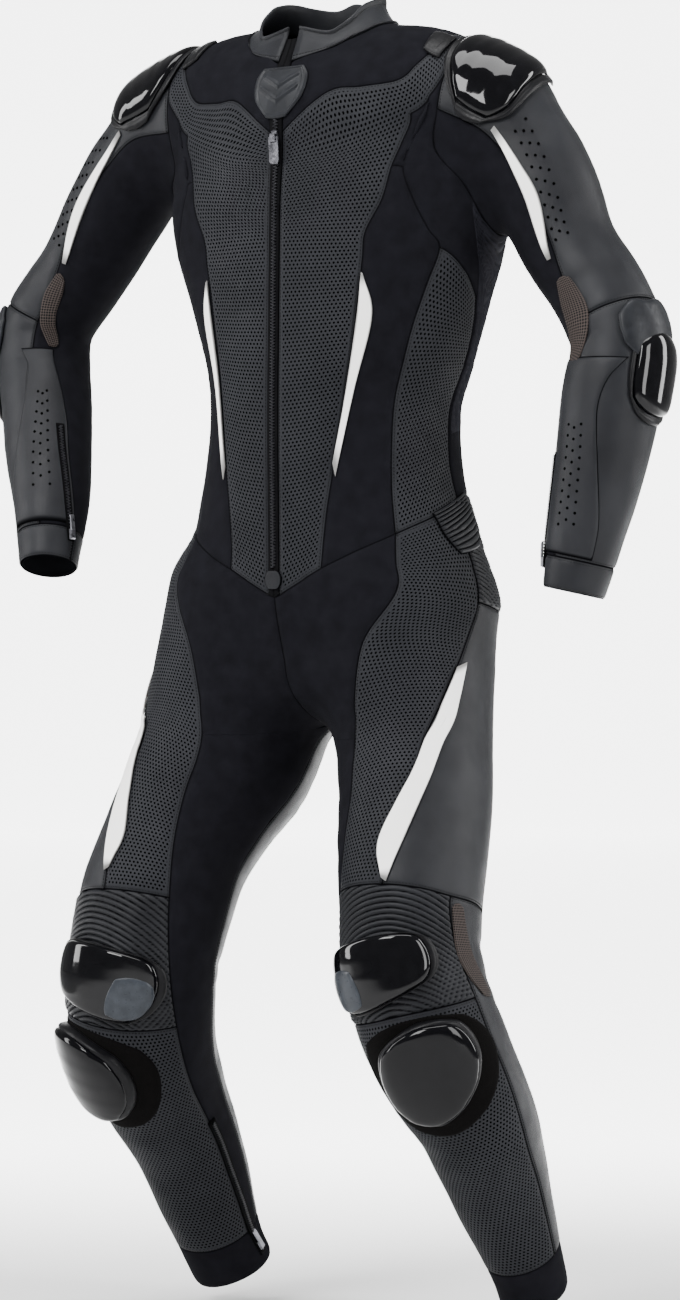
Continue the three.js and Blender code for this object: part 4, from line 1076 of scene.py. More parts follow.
def lay_cloth(
    name, panel, look, creases, dip=SEAM_DIP, thick=WALL, held="stretched", ribs=None, open_row=None,
):
    """Makes the cloth of one panel: edges turned down into the seam, creases, ribs, a thin wall."""
    gap = panel.edge_gap(open_row)
    height = -dip * ridge(gap, 0, SEAM_WIDTH)
    height += np.clip(gap / CREASE_START, 0, 1) * (ripple(panel.points) + creases(panel.points))
    shade = gap
    if ribs is not None:
        rise, valley = ribs(panel, gap)
        height += rise
        shade = np.minimum(gap, valley)
    outer = panel.points + panel.normals * height[:, None]
    inner = panel.points + panel.normals * (np.minimum(height, 0) - thick)[:, None]
    points, faces = shell(outer, inner, panel.faces)
    obj = add_mesh(name, points, faces, look, panel.uv, shade)
    if ribs is not None and look == STRETCH_CLOTH:
        # Painted light: ribbed faces take the lighter copy of the stretch cloth.
        obj.data.materials.append(RIBBED_PAINTED_LIGHT)
        on_rib = np.tile(valley, 2)[faces[:, 0]] < NO_VALLEY
        obj.data.polygons.foreach_set("material_index", on_rib.astype(np.int32))
    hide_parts(name.replace("cloth_", ""))
    declare_cloth(panel.width, panel.length, face_area(outer, panel.faces))
    if ribs is None and look in (SMOOTH_LEATHER, PERFORATED_LEATHER):
        stitched_panels.append(panel)


# The seam attribute across a rib: nought in a valley and this many millimetres on a crest; the cloth
# materials paint shade where it is small.
VALLEY_DEPTH = 1.7


def tucked(angle):
    """Rounded tucks with narrow valleys, one for each half turn."""
    return np.abs(np.sin(angle)) ** 0.65


def pleats(pitch, height, slant=0.0, droop=None, from_row=None, from_col=0):
    """Tucks fading at the seams: heights, and how far out of a valley each place is, for painted shade in
    the valleys.

    Droop is the middle line as part of the width, the half width and the fall at the sides.
    """
    def at(panel, gap):
        u, v = panel.uv.T
        line = v + slant * u
        if droop is not None:
            middle, half, fall = droop
            away = np.abs(u - middle * panel.width) / half
            line = v - fall * away**1.7 * (0.6 + 0.8 * v / panel.length)
        wave = tucked(np.pi * line / pitch)
        fade = np.clip(gap / 5, 0, 1) * np.clip((np.abs(panel.col) - from_col + 0.01) / 0.2, 0, 1)
        if from_row is not None:
            fade = fade * np.clip((panel.row - from_row) / 0.4, 0, 1)
        return height * fade * (wave - 0.45), np.where(fade > 0.25, VALLEY_DEPTH * wave, NO_VALLEY)

    return at


def cloth_layer(net, label, side=1):
    """Gives a function that lays a panel's cloth over cells of a net, on the trunk's right for side -1."""
    def lay(name, blocks, look, size=6.0, row_size=None, **options):
        if side < 0:
            blocks = [(-k1, -k0, r0, r1) for k0, k1, r0, r1 in blocks]
        panel = Panel(net, blocks, size, row_size)
        lay_cloth(f"cloth_{name}_{label}", panel, look, all_creases[label], **options)

    return lay


for label, side in SIDES:
    lay = cloth_layer(trunk, label, side)
    lay("zip_tape", [(K["X"], K["Z"], 0, R["neck"])], ZIP_CLOTH, dip=0.3, thick=1.2)
    front = [(K["Z"], K["C"], 0, R["yoke"]), (K["C"], K["U"], R["top"], R["yoke"])]
    lay("centre_front", front, PERFORATED_LEATHER)
    lay("side_front", [(K["C"], K["P"], 0, R["front"])], STRETCH_CLOTH)
    lay("side_body", [(K["P"], K["S"], 0, R["gusset"])], PERFORATED_LEATHER)
    gusset = [
        (K["S"], K["B"], 0, R["arm"]), (K["P"], K["S"], R["gusset"], R["front"]),
        (K["C"], K["S"], R["front"], R["top"]),
    ]
    tucks = pleats(5.2, 2.4, slant=1.3, from_row=R["low"] + 0.6, from_col=K["S"])
    lay("underarm", gusset, STRETCH_CLOTH, 1.9, ribs=tucks)

back_blocks = [
    (K["B"], AROUND - K["B"], 0, R["yoke"]), (K["U"], K["B"], R["top"], R["yoke"]),
    (AROUND - K["B"], AROUND - K["U"], R["top"], R["yoke"]),
]
lay_cloth("cloth_back", Panel(trunk, back_blocks), SMOOTH_LEATHER, both_creases)
yoke_block = [(K["Z"], AROUND - K["Z"], R["yoke"], R["neck"])]
lay_cloth("cloth_yoke", Panel(trunk, yoke_block), STRETCH_CLOTH, both_creases)

for label, side in SIDES:
    rows = leg_net(label, side)
    lay = cloth_layer(Net(rows[:, :-1], True), label)
    lay_upper = cloth_layer(Net(rows[:L["crotch"] + 1], False), label)
    crotch, top, low, hem = L["crotch"], L["knee_top"], L["knee_low"], L["hem"]
    lay_upper("hip_front", [(C["I"], C["P"], 0, crotch)], STRETCH_CLOTH, open_row=crotch)
    lay("inner_leg", [(C["I"], C["P"], crotch, hem)], STRETCH_CLOTH, open_row=crotch)
    lay("thigh_front", [(C["P"], C["S"], 0, top)], PERFORATED_LEATHER)
    tucks = pleats(5.6, 2.8, slant=-0.35)
    gathered = {"ribs": tucks, "held": "gathered"}
    lay("waist_inset", [(C["S"], C["B"], 0, L["inset"])], SMOOTH_LEATHER, 6.0, 1.2, **gathered)
    lay("thigh_outer", [(C["S"], C["B"], L["inset"], top)], SMOOTH_LEATHER)
    tucks = pleats(5.8, 3.4, droop=(0.47, 68.0, 26.0))
    gathered = {"ribs": tucks, "held": "gathered"}
    lay("knee_accordion", [(C["P"], C["U"], top, low)], SMOOTH_LEATHER, 3.0, 1.1, **gathered)
    lay("shin", [(C["P"], C["U"], low, hem)], PERFORATED_LEATHER)
    lay_upper("seat", [(C["B"], C["CB"], 0, crotch)], SMOOTH_LEATHER)
    lay("leg_back", [(C["B"], C["CB"], crotch, hem), (C["U"], C["B"], top, hem)], SMOOTH_LEATHER)
    lay("hem", [(0, HALF, hem, L["end"])], STRETCH_CLOTH, held="hung")

    lay = cloth_layer(sleeve_net(label, side), label)
    lay("sleeve_inner", [(V["K"] - V["end"], V["F"], 0, A["cuff"])], STRETCH_CLOTH)
    lay("sleeve_outer", [(V["F"], V["K"], 0, A["elbow_top"])], SMOOTH_LEATHER)
    lay("forearm", [(V["F"], V["K"], A["elbow_top"], A["cuff"])], SMOOTH_LEATHER)
    lay("cuff", [(0, V["end"], A["cuff"], A["end"])], SMOOTH_LEATHER)


def surface_normals(p):
    f = suit(p)
    return unit(np.stack([suit(p + np.eye(3)[c] * 0.6) - f for c in range(3)], 1))


# Collar: rises from the neck line and leans in toward the neck, its lower edge dropping at the throat
NECK_MIDDLE = np.array([0, -18.0, 0])
COLLAR_RISE = [13, 17, 21, 23, 24, 26, 30, 33]
COLLAR_LEAN = [4, 9, 14, 17, 17, 14, 9, 6]
COLLAR_DROP = [[0, 6.8], [5, 6.8], [14, 5.3], [28, 1.6], [47, 0.1], [180, 0.1]]
COLLAR_STEPS = (25, 150)
COLLAR_LENGTH = 36.0
COLLAR_WALL = 2.0
COLLAR_LIFT = 1.6


def weights(count, places):
    return np.array([through(np.eye(count), x) for x in places])


def grid_faces(rows, cols):
    i, j = np.meshgrid(np.arange(rows - 1), np.arange(cols - 1), indexing="ij")
    a = (i * cols + j).ravel()
    return np.stack([a, a + 1, a + cols + 1, a + cols], 1)


def collar_rows():
    """Rows of places up the collar: two lie on the yoke, five stand up from the neck line."""
    columns = range(K["Z"], AROUND - K["Z"] + 1)
    base = np.array([trunk.at(R["neck"], k) for k in columns])
    base = base + surface_normals(base)
    neck_line = fill_table(TORSO_TABLE, TORSO_ROW_CELLS, TORSO_COL_CELLS)[R["neck"]]
    drop_at, drop_by = np.array(COLLAR_DROP, float).T
    rows = []
    for part in (1, 0.5):
        places = []
        for k in columns:
            turn, level = neck_line[min(k, AROUND - k)]
            places.append([turn if k <= HALF else -turn, level - part * np.interp(turn, drop_at, drop_by)])
        row = on_torso(places)
        rows.append(row + COLLAR_LIFT * surface_normals(row))
    for t in (0, 0.25, 0.5, 0.75, 1):
        row = []
        for k, p in zip(columns, base):
            x = (min(k, AROUND - k) - K["Z"]) / (HALF - K["Z"]) * (len(COLLAR_RISE) - 1)
            inward = unit((NECK_MIDDLE - p) * np.array([1, 1, 0]))
            lean = through(COLLAR_LEAN, x) * (2 * t - t * t)
            row.append(p + inward * lean + np.array([0, 0, through(COLLAR_RISE, x) * t]))
        rows.append(row)
    return np.array(rows)


def add_collar():
    coarse = collar_rows()
    top, last = coarse.shape[0] - 1, coarse.shape[1] - 1
    v = np.linspace(0, top, COLLAR_STEPS[0])
    u = np.linspace(0, last, COLLAR_STEPS[1])
    grid = np.einsum("vr,rkc,uk->vuc", weights(top + 1, v), coarse, weights(last + 1, u))
    points = grid.reshape(-1, 3)
    faces = grid_faces(*COLLAR_STEPS)
    n = vertex_normals(points, faces)
    if ((points - NECK_MIDDLE)[:, :2] * n[:, :2]).sum() < 0:
        faces = faces[:, ::-1]
        n = -n
    level = np.repeat(v / top, len(u))
    bulge = 0.9 * ridge(level, 0.93, 0.07) - 1.1 * ridge(level, 0, 0.05)
    bulge = bulge - 0.5 * ridge(level, 0.80, 0.04) + 0.25 * ripple(points)
    outer = points + n * bulge[:, None]
    solid, everything = shell(outer, points - n * COLLAR_WALL, faces)
    lengths = np.linalg.norm(np.diff(grid, axis=1), axis=2).sum(1)
    uv = np.stack([np.tile(u / last * lengths.mean(), len(v)), level * 30], 1)
    look = ("stretch_fabric", SMOOTH)
    # Painted shade: the seam attribute is nought at the collar's foot and rises upward, so the leather
    # darkens along the foot.
    obj = add_mesh("cloth_collar", solid, everything, look, uv, np.minimum(level * 28, 3.0))
    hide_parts("collar")
    declare_cloth(lengths.max(), COLLAR_LENGTH, face_area(outer, faces))
    return np.concatenate([outer, n], 1).reshape(*COLLAR_STEPS, 6)


collar_grid = add_collar()


# Pieces laid on the suit
FINE = np.linspace(-1, 1, 41)
LONG = np.linspace(-1, 1, 43)
SHIELD_STEPS = np.linspace(-1, 1, 61)
RIB_STEPS = np.linspace(-1, 1, 81)
EDGE_STEPS = [1, 0.97, 0.93, 0.9, 0.86, 0.82, 0.8, 0.76, 0.7, 0.6, 0.5, 0.4, 0.3, 0.2, 0.1, 0.0]
EDGED = np.array(sorted({s * step for s in (-1, 1) for step in EDGE_STEPS}))


class Patch:
    """A sheet between two lines of places on a limb, or on the torso where line is None."""

    def __init__(self, line, side, lines, along, over):
        self.along, self.over = along, over
        places = []
        for r in range(along + 1):
            a, b = [through(rows, r / along * (len(rows) - 1)) for rows in lines]
            places.extend(a + (b - a) * k / over for k in range(over + 1))
        if line is None:
            points = on_torso(np.array(places) * np.array([side, 1]))
        else:
            points = on_limb(line, places, side)
        self.net = points.reshape(along + 1, over + 1, 3)
        self.widths = np.linalg.norm(np.diff(self.net, axis=1), axis=2).sum(1)
        self.lengths = np.linalg.norm(np.diff(self.net, axis=0), axis=2).sum(0)

    def sample(self, v, u):
        wv = weights(self.along + 1, np.clip(v, 0, 1) * self.along)
        wu = weights(self.over + 1, np.clip(u, 0, 1) * self.over)
        return np.einsum("nr,rkc,nk->nc", wv, self.net, wu)


def lay_patch(
    name, patch, look, height, bottom, steps, round_off=0.0, replaces=None, on=None,
    hole=None, scale=(1.0, 1.0), middle=(0.0, 0.0), valley=None,
):
    """A closed piece over a patch; one that lies on cloth is cloth itself.

    Height is given from the distance out from the middle, nought to one, and the places across and down.
    """
    b, a = np.meshgrid(steps, steps, indexing="ij")
    x = a * np.sqrt(1 - round_off * b * b / 2)
    y = b * np.sqrt(1 - round_off * a * a / 2)
    u = (0.5 + 0.5 * (x * scale[0] + middle[0])).ravel()
    v = (0.5 + 0.5 * (y * scale[1] + middle[1])).ravel()
    points = patch.sample(v, u)
    faces = grid_faces(len(steps), len(steps))
    if hole is not None:
        between = np.abs(steps[:-1] + steps[1:]) / 2
        faces = faces[np.maximum.outer(between, between).ravel() > hole]
    points, n, faces = settle(points, faces)
    used = np.unique(faces)
    order = np.full(len(points), -1)
    order[used] = np.arange(len(used))
    faces = order[faces]
    a, b = a.ravel(), b.ravel()
    m = np.maximum(np.abs(a), np.abs(b))
    outer = (points + n * height(m, a, b)[:, None])[used]
    solid, everything = shell(outer, (points + n * bottom)[used], faces)
    width = patch.widths.mean()
    uv = np.stack([u * width, v * patch.lengths.mean()], 1)[used]
    # The seam attribute: nought at the piece's edge, so leather and cloth materials paint shade along the
    # edge; the waist ribs' valleys are shaded the same way.
    gap = ((1 - m) * 0.5 * width)[used]
    if valley is not None:
        gap = np.minimum(gap, valley(b[used]))
    obj = add_mesh(name, solid, everything, look, uv, gap)
    if replaces:
        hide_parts(replaces)
    if on:
        area = face_area(outer, faces)
        declare_cloth(float(patch.widths.max()), float(patch.lengths.max()), area)


def frame_rise(low, high):
    return lambda m, a, b: low + (high - low) * np.clip(ridge(m, 0.93, 0.035) + ridge(m, 0.84, 0.03), 0, 1)


def dome_rise(edge, rise, power):
    def at(m, a, b):
        round_a = 1 - np.abs(a) ** (2 * power)
        round_b = 1 - np.abs(b) ** (2 * power)
        return edge + rise * np.sqrt(np.clip(round_a * round_b, 0, 1))

    return at


def flat_rise(height, edge=0.6):
    return lambda m, a, b: height - edge * np.clip((m - 0.9) / 0.1, 0, 1) ** 2


# The two long edges of each laid piece, as places on the limb or torso
THIGH_STRIPE = [
    [[0.108, 66], [0.167, 52.6], [0.249, 38.5], [0.309, 21.8], [0.361, 6.8], [0.400, 10]],
    [[0.099, 75], [0.150, 68.5], [0.222, 58], [0.285, 44], [0.345, 29.5], [0.404, 13.5]],
]
KNEE_CUP = [
    [[0.470, -32], [0.478, -50], [0.502, -54], [0.525, -44], [0.536, -26]],
    [[0.466, 28], [0.472, 46], [0.494, 52], [0.514, 46], [0.524, 22]],
]
KNEE_SLIDER = [
    [[0.552, -2], [0.566, -20], [0.598, -26], [0.630, -22], [0.652, -8]],
    [[0.546, 44], [0.558, 62], [0.590, 66], [0.622, 56], [0.646, 34]],
]
KNEE_BASE = [
    [[0.547, -48], [0.575, -50], [0.610, -46], [0.645, -38], [0.670, -22]],
    [[0.543, 74], [0.570, 82], [0.605, 84], [0.640, 76], [0.668, 52]],
]
KNEE_MESH = [
    [[0.433, 66], [0.464, 69], [0.495, 72], [0.522, 80], [0.550, 94]],
    [[0.429, 79], [0.462, 85], [0.496, 92], [0.526, 102], [0.556, 112]],
]
WAIST_RIBS = [
    [[-0.101, 49], [-0.090, 54], [-0.076, 59], [-0.062, 65], [-0.049, 73]],
    [[-0.141, 96], [-0.132, 101], [-0.120, 105], [-0.099, 110], [-0.072, 110]],
]
WAIST_RIB_COUNT = 11
CALF_ZIP = [
    [[0.720, -73], [0.800, -75], [0.880, -79], [0.980, -86]],
    [[0.720, -83], [0.800, -86], [0.880, -92], [0.980, -101]],
]
SHOULDER_CUP = [
    [[0.088, -4], [0.044, 22], [0.020, 50], [0.014, 88], [0.026, 124]],
    [[0.126, 0], [0.150, 26], [0.136, 56], [0.122, 90], [0.112, 124]],
]
CUP_DROP = {"left": 0, "right": 0.005}
ELBOW_CUP = [
    [[0.575, 44], [0.556, 60], [0.548, 90], [0.556, 122], [0.575, 138]],
    [[0.655, 44], [0.690, 60], [0.700, 90], [0.690, 122], [0.655, 138]],
]
SLEEVE_STRIPE = [
    [[0.150, 8], [0.220, 3], [0.285, 0], [0.340, -4], [0.394, -9]],
    [[0.148, 13], [0.220, 13], [0.285, 15], [0.340, 9], [0.396, -4]],
]
ELBOW_MESH = {
    "left": [
        [[0.429, -15], [0.463, -28], [0.501, -37], [0.560, -46], [0.620, -42]],
        [[0.438, 2], [0.481, 4], [0.519, 2], [0.575, -14], [0.632, -26]],
    ],
    "right": [
        [[0.416, -18], [0.440, -26], [0.475, -33], [0.530, -48], [0.592, -58]],
        [[0.412, -4], [0.455, -5], [0.495, -16], [0.555, -33], [0.602, -46]],
    ],
}
FOREARM_INNER = [
    [0.606, -51], [0.650, -55], [0.700, -60], [0.763, -66], [0.820, -68], [0.880, -73], [0.940, -84],
]
FOREARM_SEAM = {
    "left": [[0.598, 42], [0.631, 23], [0.690, 14], [0.763, 22], [0.820, 32], [0.885, 44], [0.940, 46]],
    "right": [[0.598, -8], [0.650, -21], [0.700, -13], [0.763, -1], [0.820, 14], [0.875, 32], [0.940, 34]],
}
FOREARM_VENTS = {
    "left": [[[0.720, -22], [0.900, -16]], [[0.715, -13], [0.900, -3]], [[0.718, -3], [0.895, 9]]],
    "right": [[[0.705, -30], [0.888, -12]], [[0.700, -36], [0.885, -24]], [[0.705, -41], [0.890, -37]]],
}
ELBOW_HOOD = [
    [[0.542, 32], [0.524, 54], [0.528, 75], [0.522, 100], [0.536, 128]],
    [[0.578, 34], [0.596, 52], [0.590, 73], [0.586, 96], [0.566, 130]],
]
SHOULDER_TAB = [
    [[-0.034, 64], [-0.026, 52], [-0.018, 39]],
    [[0.008, 68], [0.014, 52], [0.018, 36]],
]
CUFF_ZIP = [
    [[0.768, -50], [0.850, -54], [0.915, -60], [0.968, -73]],
    [[0.768, -61], [0.850, -65], [0.915, -72], [0.968, -86]],
]


INSERT_SCALE = (0.31, 0.42)
INSERT_MIDDLE = (-0.55, 0.24)
KNEE_FILL = 0.88


def dropped(lines, drop):
    return [[[u + drop, turn] for u, turn in rows] for rows in lines]


def insert_rise(under, lift):
    """The grey inlay of the knee cup, which follows the dome below it."""
    def at(m, a, b):
        far_a = np.clip((a * INSERT_SCALE[0] + INSERT_MIDDLE[0]) / KNEE_FILL, -1, 1)
        far_b = np.clip((b * INSERT_SCALE[1] + INSERT_MIDDLE[1]) / KNEE_FILL, -1, 1)
        return under(m, far_a, far_b) + lift * (0.3 + 0.7 * np.sqrt(np.clip((1 - m) / 0.2, 0, 1)))

    return at


def rib_wave(b):
    return tucked(math.pi * WAIST_RIB_COUNT * (b + 1) / 2)


def rib_rise(m, a, b):
    return 0.9 + 2.6 * rib_wave(b) * np.clip((1 - m) / 0.08, 0, 1)


# Painted shade: the waist ribs' valleys get small values of the seam attribute.
def rib_valley(b):
    return VALLEY_DEPTH * rib_wave(b)


def lay_pieces(label, side):
    """The laid pieces of one side's leg and arm."""
    def on_leg(lines, along, over):
        return Patch(legs[label], side, lines, along, over)

    def on_arm(lines, along, over):
        return Patch(arms[label], side, lines, along, over)

    def piece(name, patch, look, height, bottom, steps, round_off=0.0, replaces=None, on=None, **options):
        node = replaces and f"{replaces}_{label}"
        under = on and f"{on}_{label}"
        lay_patch(f"{name}_{label}", patch, look, height, bottom, steps, round_off, node, under, **options)

    def framed_cup(kind, patch, lift, low, high, rise_from, rise, round_off, fill=0.80):
        rubber, gloss = ("hard_gloss", RUBBER), ("hard_gloss", GLOSS)
        frame_height = frame_rise(lift + low, lift + high)
        piece(f"{kind}_frame", patch, rubber, frame_height, lift, EDGED, round_off, hole=fill - 0.02)
        dome = dome_rise(lift + rise_from, rise, 3)
        piece(f"{kind}_shell", patch, gloss, dome, lift, FINE, round_off, f"{kind}_cup", scale=(fill, fill))
        return dome

    drop = KNEE_DROP[label]
    stripe = on_leg(THIGH_STRIPE, 14, 2)
    on = "cloth_thigh_front"
    piece("white_thigh_stripe", stripe, WHITE_LEATHER, flat_rise(2.9), 1.3, LONG, 0.0, "thigh_stripe", on)
    cup = on_leg(dropped(KNEE_CUP, drop), 8, 8)
    dome = framed_cup("knee", cup, 3.0, 2.4, 4.6, 3.6, 7.0, 0.55, KNEE_FILL)
    inlay = {"scale": INSERT_SCALE, "middle": INSERT_MIDDLE}
    piece("knee_insert", cup, ("hard_gloss", INSERT), insert_rise(dome, 1.3), 4.0, FINE, 0.7, **inlay)
    base = on_leg(dropped(KNEE_BASE, drop), 8, 8)
    hook_panel = ("slider_gloss", HOOKS)
    piece("slider_base", base, hook_panel, flat_rise(1.3, 0.5), -0.4, FINE, 0.8, on="cloth_shin")
    puck = on_leg(dropped(KNEE_SLIDER, drop), 8, 8)
    piece("slider_rim", puck, ("slider_gloss", RUBBER), dome_rise(2.5, 9.5, 5), 0.8, FINE, 0.95)
    dome = dome_rise(11.5, 7.6, 2.2)
    slider = {"replaces": "knee_slider", "scale": (0.86, 0.86)}
    piece("slider_dome", puck, ("slider_gloss", PUCK), dome, 6.0, FINE, 0.95, **slider)
    waist = on_leg(WAIST_RIBS, 12, 6)
    piece("waist_ribs", waist, SMOOTH_LEATHER, rib_rise, -0.2, RIB_STEPS, 0.25, None, on, valley=rib_valley)
    vent = on_leg(dropped(KNEE_MESH, drop), 8, 3)
    piece("knee_vent", vent, VENT_CLOTH, flat_rise(1.6), 0.2, FINE, 0.3, on="cloth_knee_accordion")
    strip = on_leg(CALF_ZIP, 8, 2)
    piece("calf_zip_tape", strip, ZIP_CLOTH, flat_rise(1.4, 0.5), -0.3, LONG, on="cloth_inner_leg")

    pad = on_arm(dropped(SHOULDER_CUP, CUP_DROP[label]), 10, 8)
    framed_cup("shoulder", pad, 1.9, 1.6, 3.4, 3.0, 5.6, 0.3)
    framed_cup("elbow", on_arm(ELBOW_CUP, 8, 6), 0.8, 1.6, 3.4, 3.0, 6.4, 0.5)
    stripe = on_arm(SLEEVE_STRIPE, 10, 1)
    on = "cloth_sleeve_outer"
    piece("white_sleeve_stripe", stripe, WHITE_LEATHER, flat_rise(2.4), 0.6, LONG, 0.0, "sleeve_stripe", on)
    vent = on_arm(ELBOW_MESH[label], 8, 3)
    on = "cloth_forearm"
    piece("elbow_vent", vent, VENT_CLOTH, flat_rise(1.5), -0.2, FINE, 0.3, None, on)
    panel = on_arm([FOREARM_INNER, FOREARM_SEAM[label]], 12, 8)
    piece("forearm_front", panel, SMOOTH_LEATHER, flat_rise(1.9, 1.3), -0.2, LONG, 0.0, None, on)
    hood = on_arm(ELBOW_HOOD, 8, 6)
    piece("elbow_hood", hood, ("hard_gloss", BADGE_RUBBER), dome_rise(3.2, 3.4, 2.4), 0.4, FINE, 0.3)
    tab = on_arm(SHOULDER_TAB, 6, 4)
    piece("shoulder_tab", tab, ("hard_gloss", RUBBER), dome_rise(2.4, 1.6, 3), -0.6, FINE, 0.3)
    strip = on_arm(CUFF_ZIP, 6, 2)
    piece("cuff_zip_tape", strip, ZIP_CLOTH, flat_rise(2.9, 0.5), 0.8, LONG, on="forearm_front")


for label, side in SIDES:
    lay_pieces(label, side)

TORSO_STRIPE = [
    [[43.6, -47], [41.8, -96], [37.2, -172], [31.6, -240]],
    [[44.2, -48], [48.2, -92], [41.2, -168], [32.9, -254]],
]
BADGE = [
    [[-13, 59.5], [-16, 56], [-14, 50.5], [-5, 45.5]],
    [[15, 59.5], [18, 56], [15, 50.5], [6, 45.5]],
]
END_PATCH = [
    [[-1.6, -348.6], [-3.6, -350.4], [-4.9, -355], [-4.9, -361], [-3.6, -366], [-1.6, -368]],
    [[1.6, -348.6], [3.6, -350.4], [4.9, -355], [4.9, -361], [3.6, -366], [1.6, -368]],
]
for label, side in SIDES:
    stripe = Patch(None, side, TORSO_STRIPE, 14, 1)
    lay_patch(
        f"white_torso_stripe_{label}", stripe, WHITE_LEATHER, flat_rise(2.4), 0.6, LONG, 0.0,
        f"torso_stripe_{label}", f"cloth_centre_front_{label}",
    )


def shield_rise(m, a, b):
    """The badge: a rim and two chevron bars."""
    bent = b + 0.55 * np.abs(a)
    bars = np.clip(ridge(bent, 0.35, 0.07) + ridge(bent, -0.10, 0.07), 0, 1)
    inside = np.clip((0.74 - m) / 0.08, 0, 1)
    return 2.2 + 1.4 * ridge(m, 0.90, 0.06) + 1.9 * inside * bars + 0.8 * (1 - m)


lay_patch(
    "shield_badge", Patch(None, 1, BADGE, 6, 8), ("badge_rubber", BADGE_RUBBER), shield_rise, 0.6,
    SHIELD_STEPS, 0.15, "throat_badge",
)
lay_patch(
    "round_end_patch", Patch(None, 1, END_PATCH, 10, 6), SMOOTH_LEATHER, flat_rise(2.2, 1.0), 0.5,
    FINE, 0.2, "zip_end_patch", "cloth_zip_tape_left",
)


# Small repeated parts: zip teeth, stitches, vent holes
BOX_FACES = [[0, 3, 2, 1], [4, 5, 6, 7], [0, 1, 5, 4], [1, 2, 6, 5], [2, 3, 7, 6], [3, 0, 4, 7]]
BOX_TAPER = 0.78
TOOTH_STEP = 1.6
STITCH_STEP = 3.3
STITCH_INSET = 2.4
STITCH_HALF = (1.05, 0.28, 0.32)
ZIP_METAL = ("zip_metal", METAL)


def boxes(centres, along, out, half):
    """Small blocks, each with its own direction along and its own outward direction."""
    along = unit(along)
    out = unit(out)
    across = np.cross(out, along)
    corners = []
    for c, taper in ((-1, 1.0), (1, BOX_TAPER)):
        for a, b in ((-1, -1), (1, -1), (1, 1), (-1, 1)):
            shift = along * (a * half[0] * taper) + across * (b * half[1] * taper) + out * (c * half[2])
            corners.append(centres + shift)
    points = np.stack(corners, 1).reshape(-1, 3)
    faces = (np.array(BOX_FACES)[None] + 8 * np.arange(len(centres))[:, None, None]).reshape(-1, 4)
    return points, faces


def resample(line, step):
    gaps = np.linalg.norm(np.diff(line, axis=0), axis=1)
    at = np.concatenate([[0], np.cumsum(gaps)])
    q = np.arange(step / 2, at[-1], step)
    return np.stack([np.interp(q, at, line[:, c]) for c in range(line.shape[1])], 1)


def add_teeth(name, line, half, height, offset):
    """Teeth along a line, lying by turns to its left and right."""
    places = resample(line, TOOTH_STEP)
    n = surface_normals(places)
    along = np.gradient(places, axis=0)
    across = unit(np.cross(n, along))
    across[1::2] *= -1
    points, faces = boxes(places + n * height + across * offset, along, n, half)
    add_mesh(name, points, faces, ("zip_metal", TOOTH))


def add_zip_slider(name, path, lift):
    """A small slider near the lower end of a zip, with its tab pointing up."""
    at = path[-2:-1]
    n = surface_normals(at)
    along = unit(path[-1:] - path[-4:-3])
    body, faces = boxes(at + n * (lift + 1.5), along, n, (5.5, 3.6, 1.4))
    tab, tab_faces = boxes(at + n * (lift + 2.7) - along * 12, along, n, (9.0, 3.0, 0.7))
    add_mesh(name, np.concatenate([body, tab]), np.concatenate([faces, tab_faces + len(body)]), ZIP_METAL)


levels = np.concatenate([np.linspace(58, 2, 40), np.linspace(-2, -346, 70)])
zip_line = on_torso(np.stack([0 * levels, levels], 1))
add_teeth("zip_teeth", zip_line, (0.7, 1.9, 0.9), 1.0, 0.9)
for label, side in SIDES:
    for kind, line, rows, count, lift in (
        ("calf", legs[label], CALF_ZIP, 30, 1.7), ("cuff", arms[label], CUFF_ZIP, 20, 3.2),
    ):
        x = np.linspace(0.02, 0.98, count) * (len(rows[0]) - 1)
        middle = np.array([(through(rows[0], v) + through(rows[1], v)) / 2 for v in x])
        path = on_limb(line, middle, side)
        add_teeth(f"{kind}_zip_teeth_{label}", path, (0.7, 1.6, 0.8), lift, 0.7)
        add_zip_slider(f"{kind}_zip_slider_{label}", path, lift)


def seam_lines():
    """Closed lines inside the edges of the stitched panels, each place with its outward direction."""
    lines = []
    for panel in stitched_panels:
        start, end = panel.border.T
        n = unit(panel.normals[start] + panel.normals[end])
        inward = unit(np.cross(n, panel.points[end] - panel.points[start]))
        line = np.concatenate([panel.points[start] + inward * STITCH_INSET, n], 1)
        following = {place: i for i, place in enumerate(start.tolist())}
        todo = set(range(len(start)))
        while todo:
            i = min(todo)
            chain = []
            while i in todo:
                todo.remove(i)
                chain.append(i)
                i = following.get(int(end[i]), -1)
            if len(chain) >= 4:
                lines.append(line[chain + chain[:1]])
    return lines


def add_stitches(name, lines, rise):
    lines = [resample(line, STITCH_STEP) for line in lines]
    along = np.concatenate([np.gradient(line[:, :3], axis=0) for line in lines])
    places = np.concatenate(lines)
    out = places[:, 3:]
    points, faces = boxes(places[:, :3] + out * rise, along, out, STITCH_HALF)
    add_mesh(name, points, faces, (None, THREAD))


add_stitches("seam_stitches", seam_lines(), -0.30)
add_stitches("collar_stitches", [collar_grid[2], collar_grid[20]], 0.15)

VENT_COUNT = 10
VENT_CORNERS = 8
VENT_RADIUS = 1.5
VENT_HEIGHT = 0.7
SLEEVE_VENTS = [
    [[0.175, 26], [0.385, 12]],
    [[0.170, 34], [0.385, 20]],
    [[0.165, 42], [0.385, 28]],
]


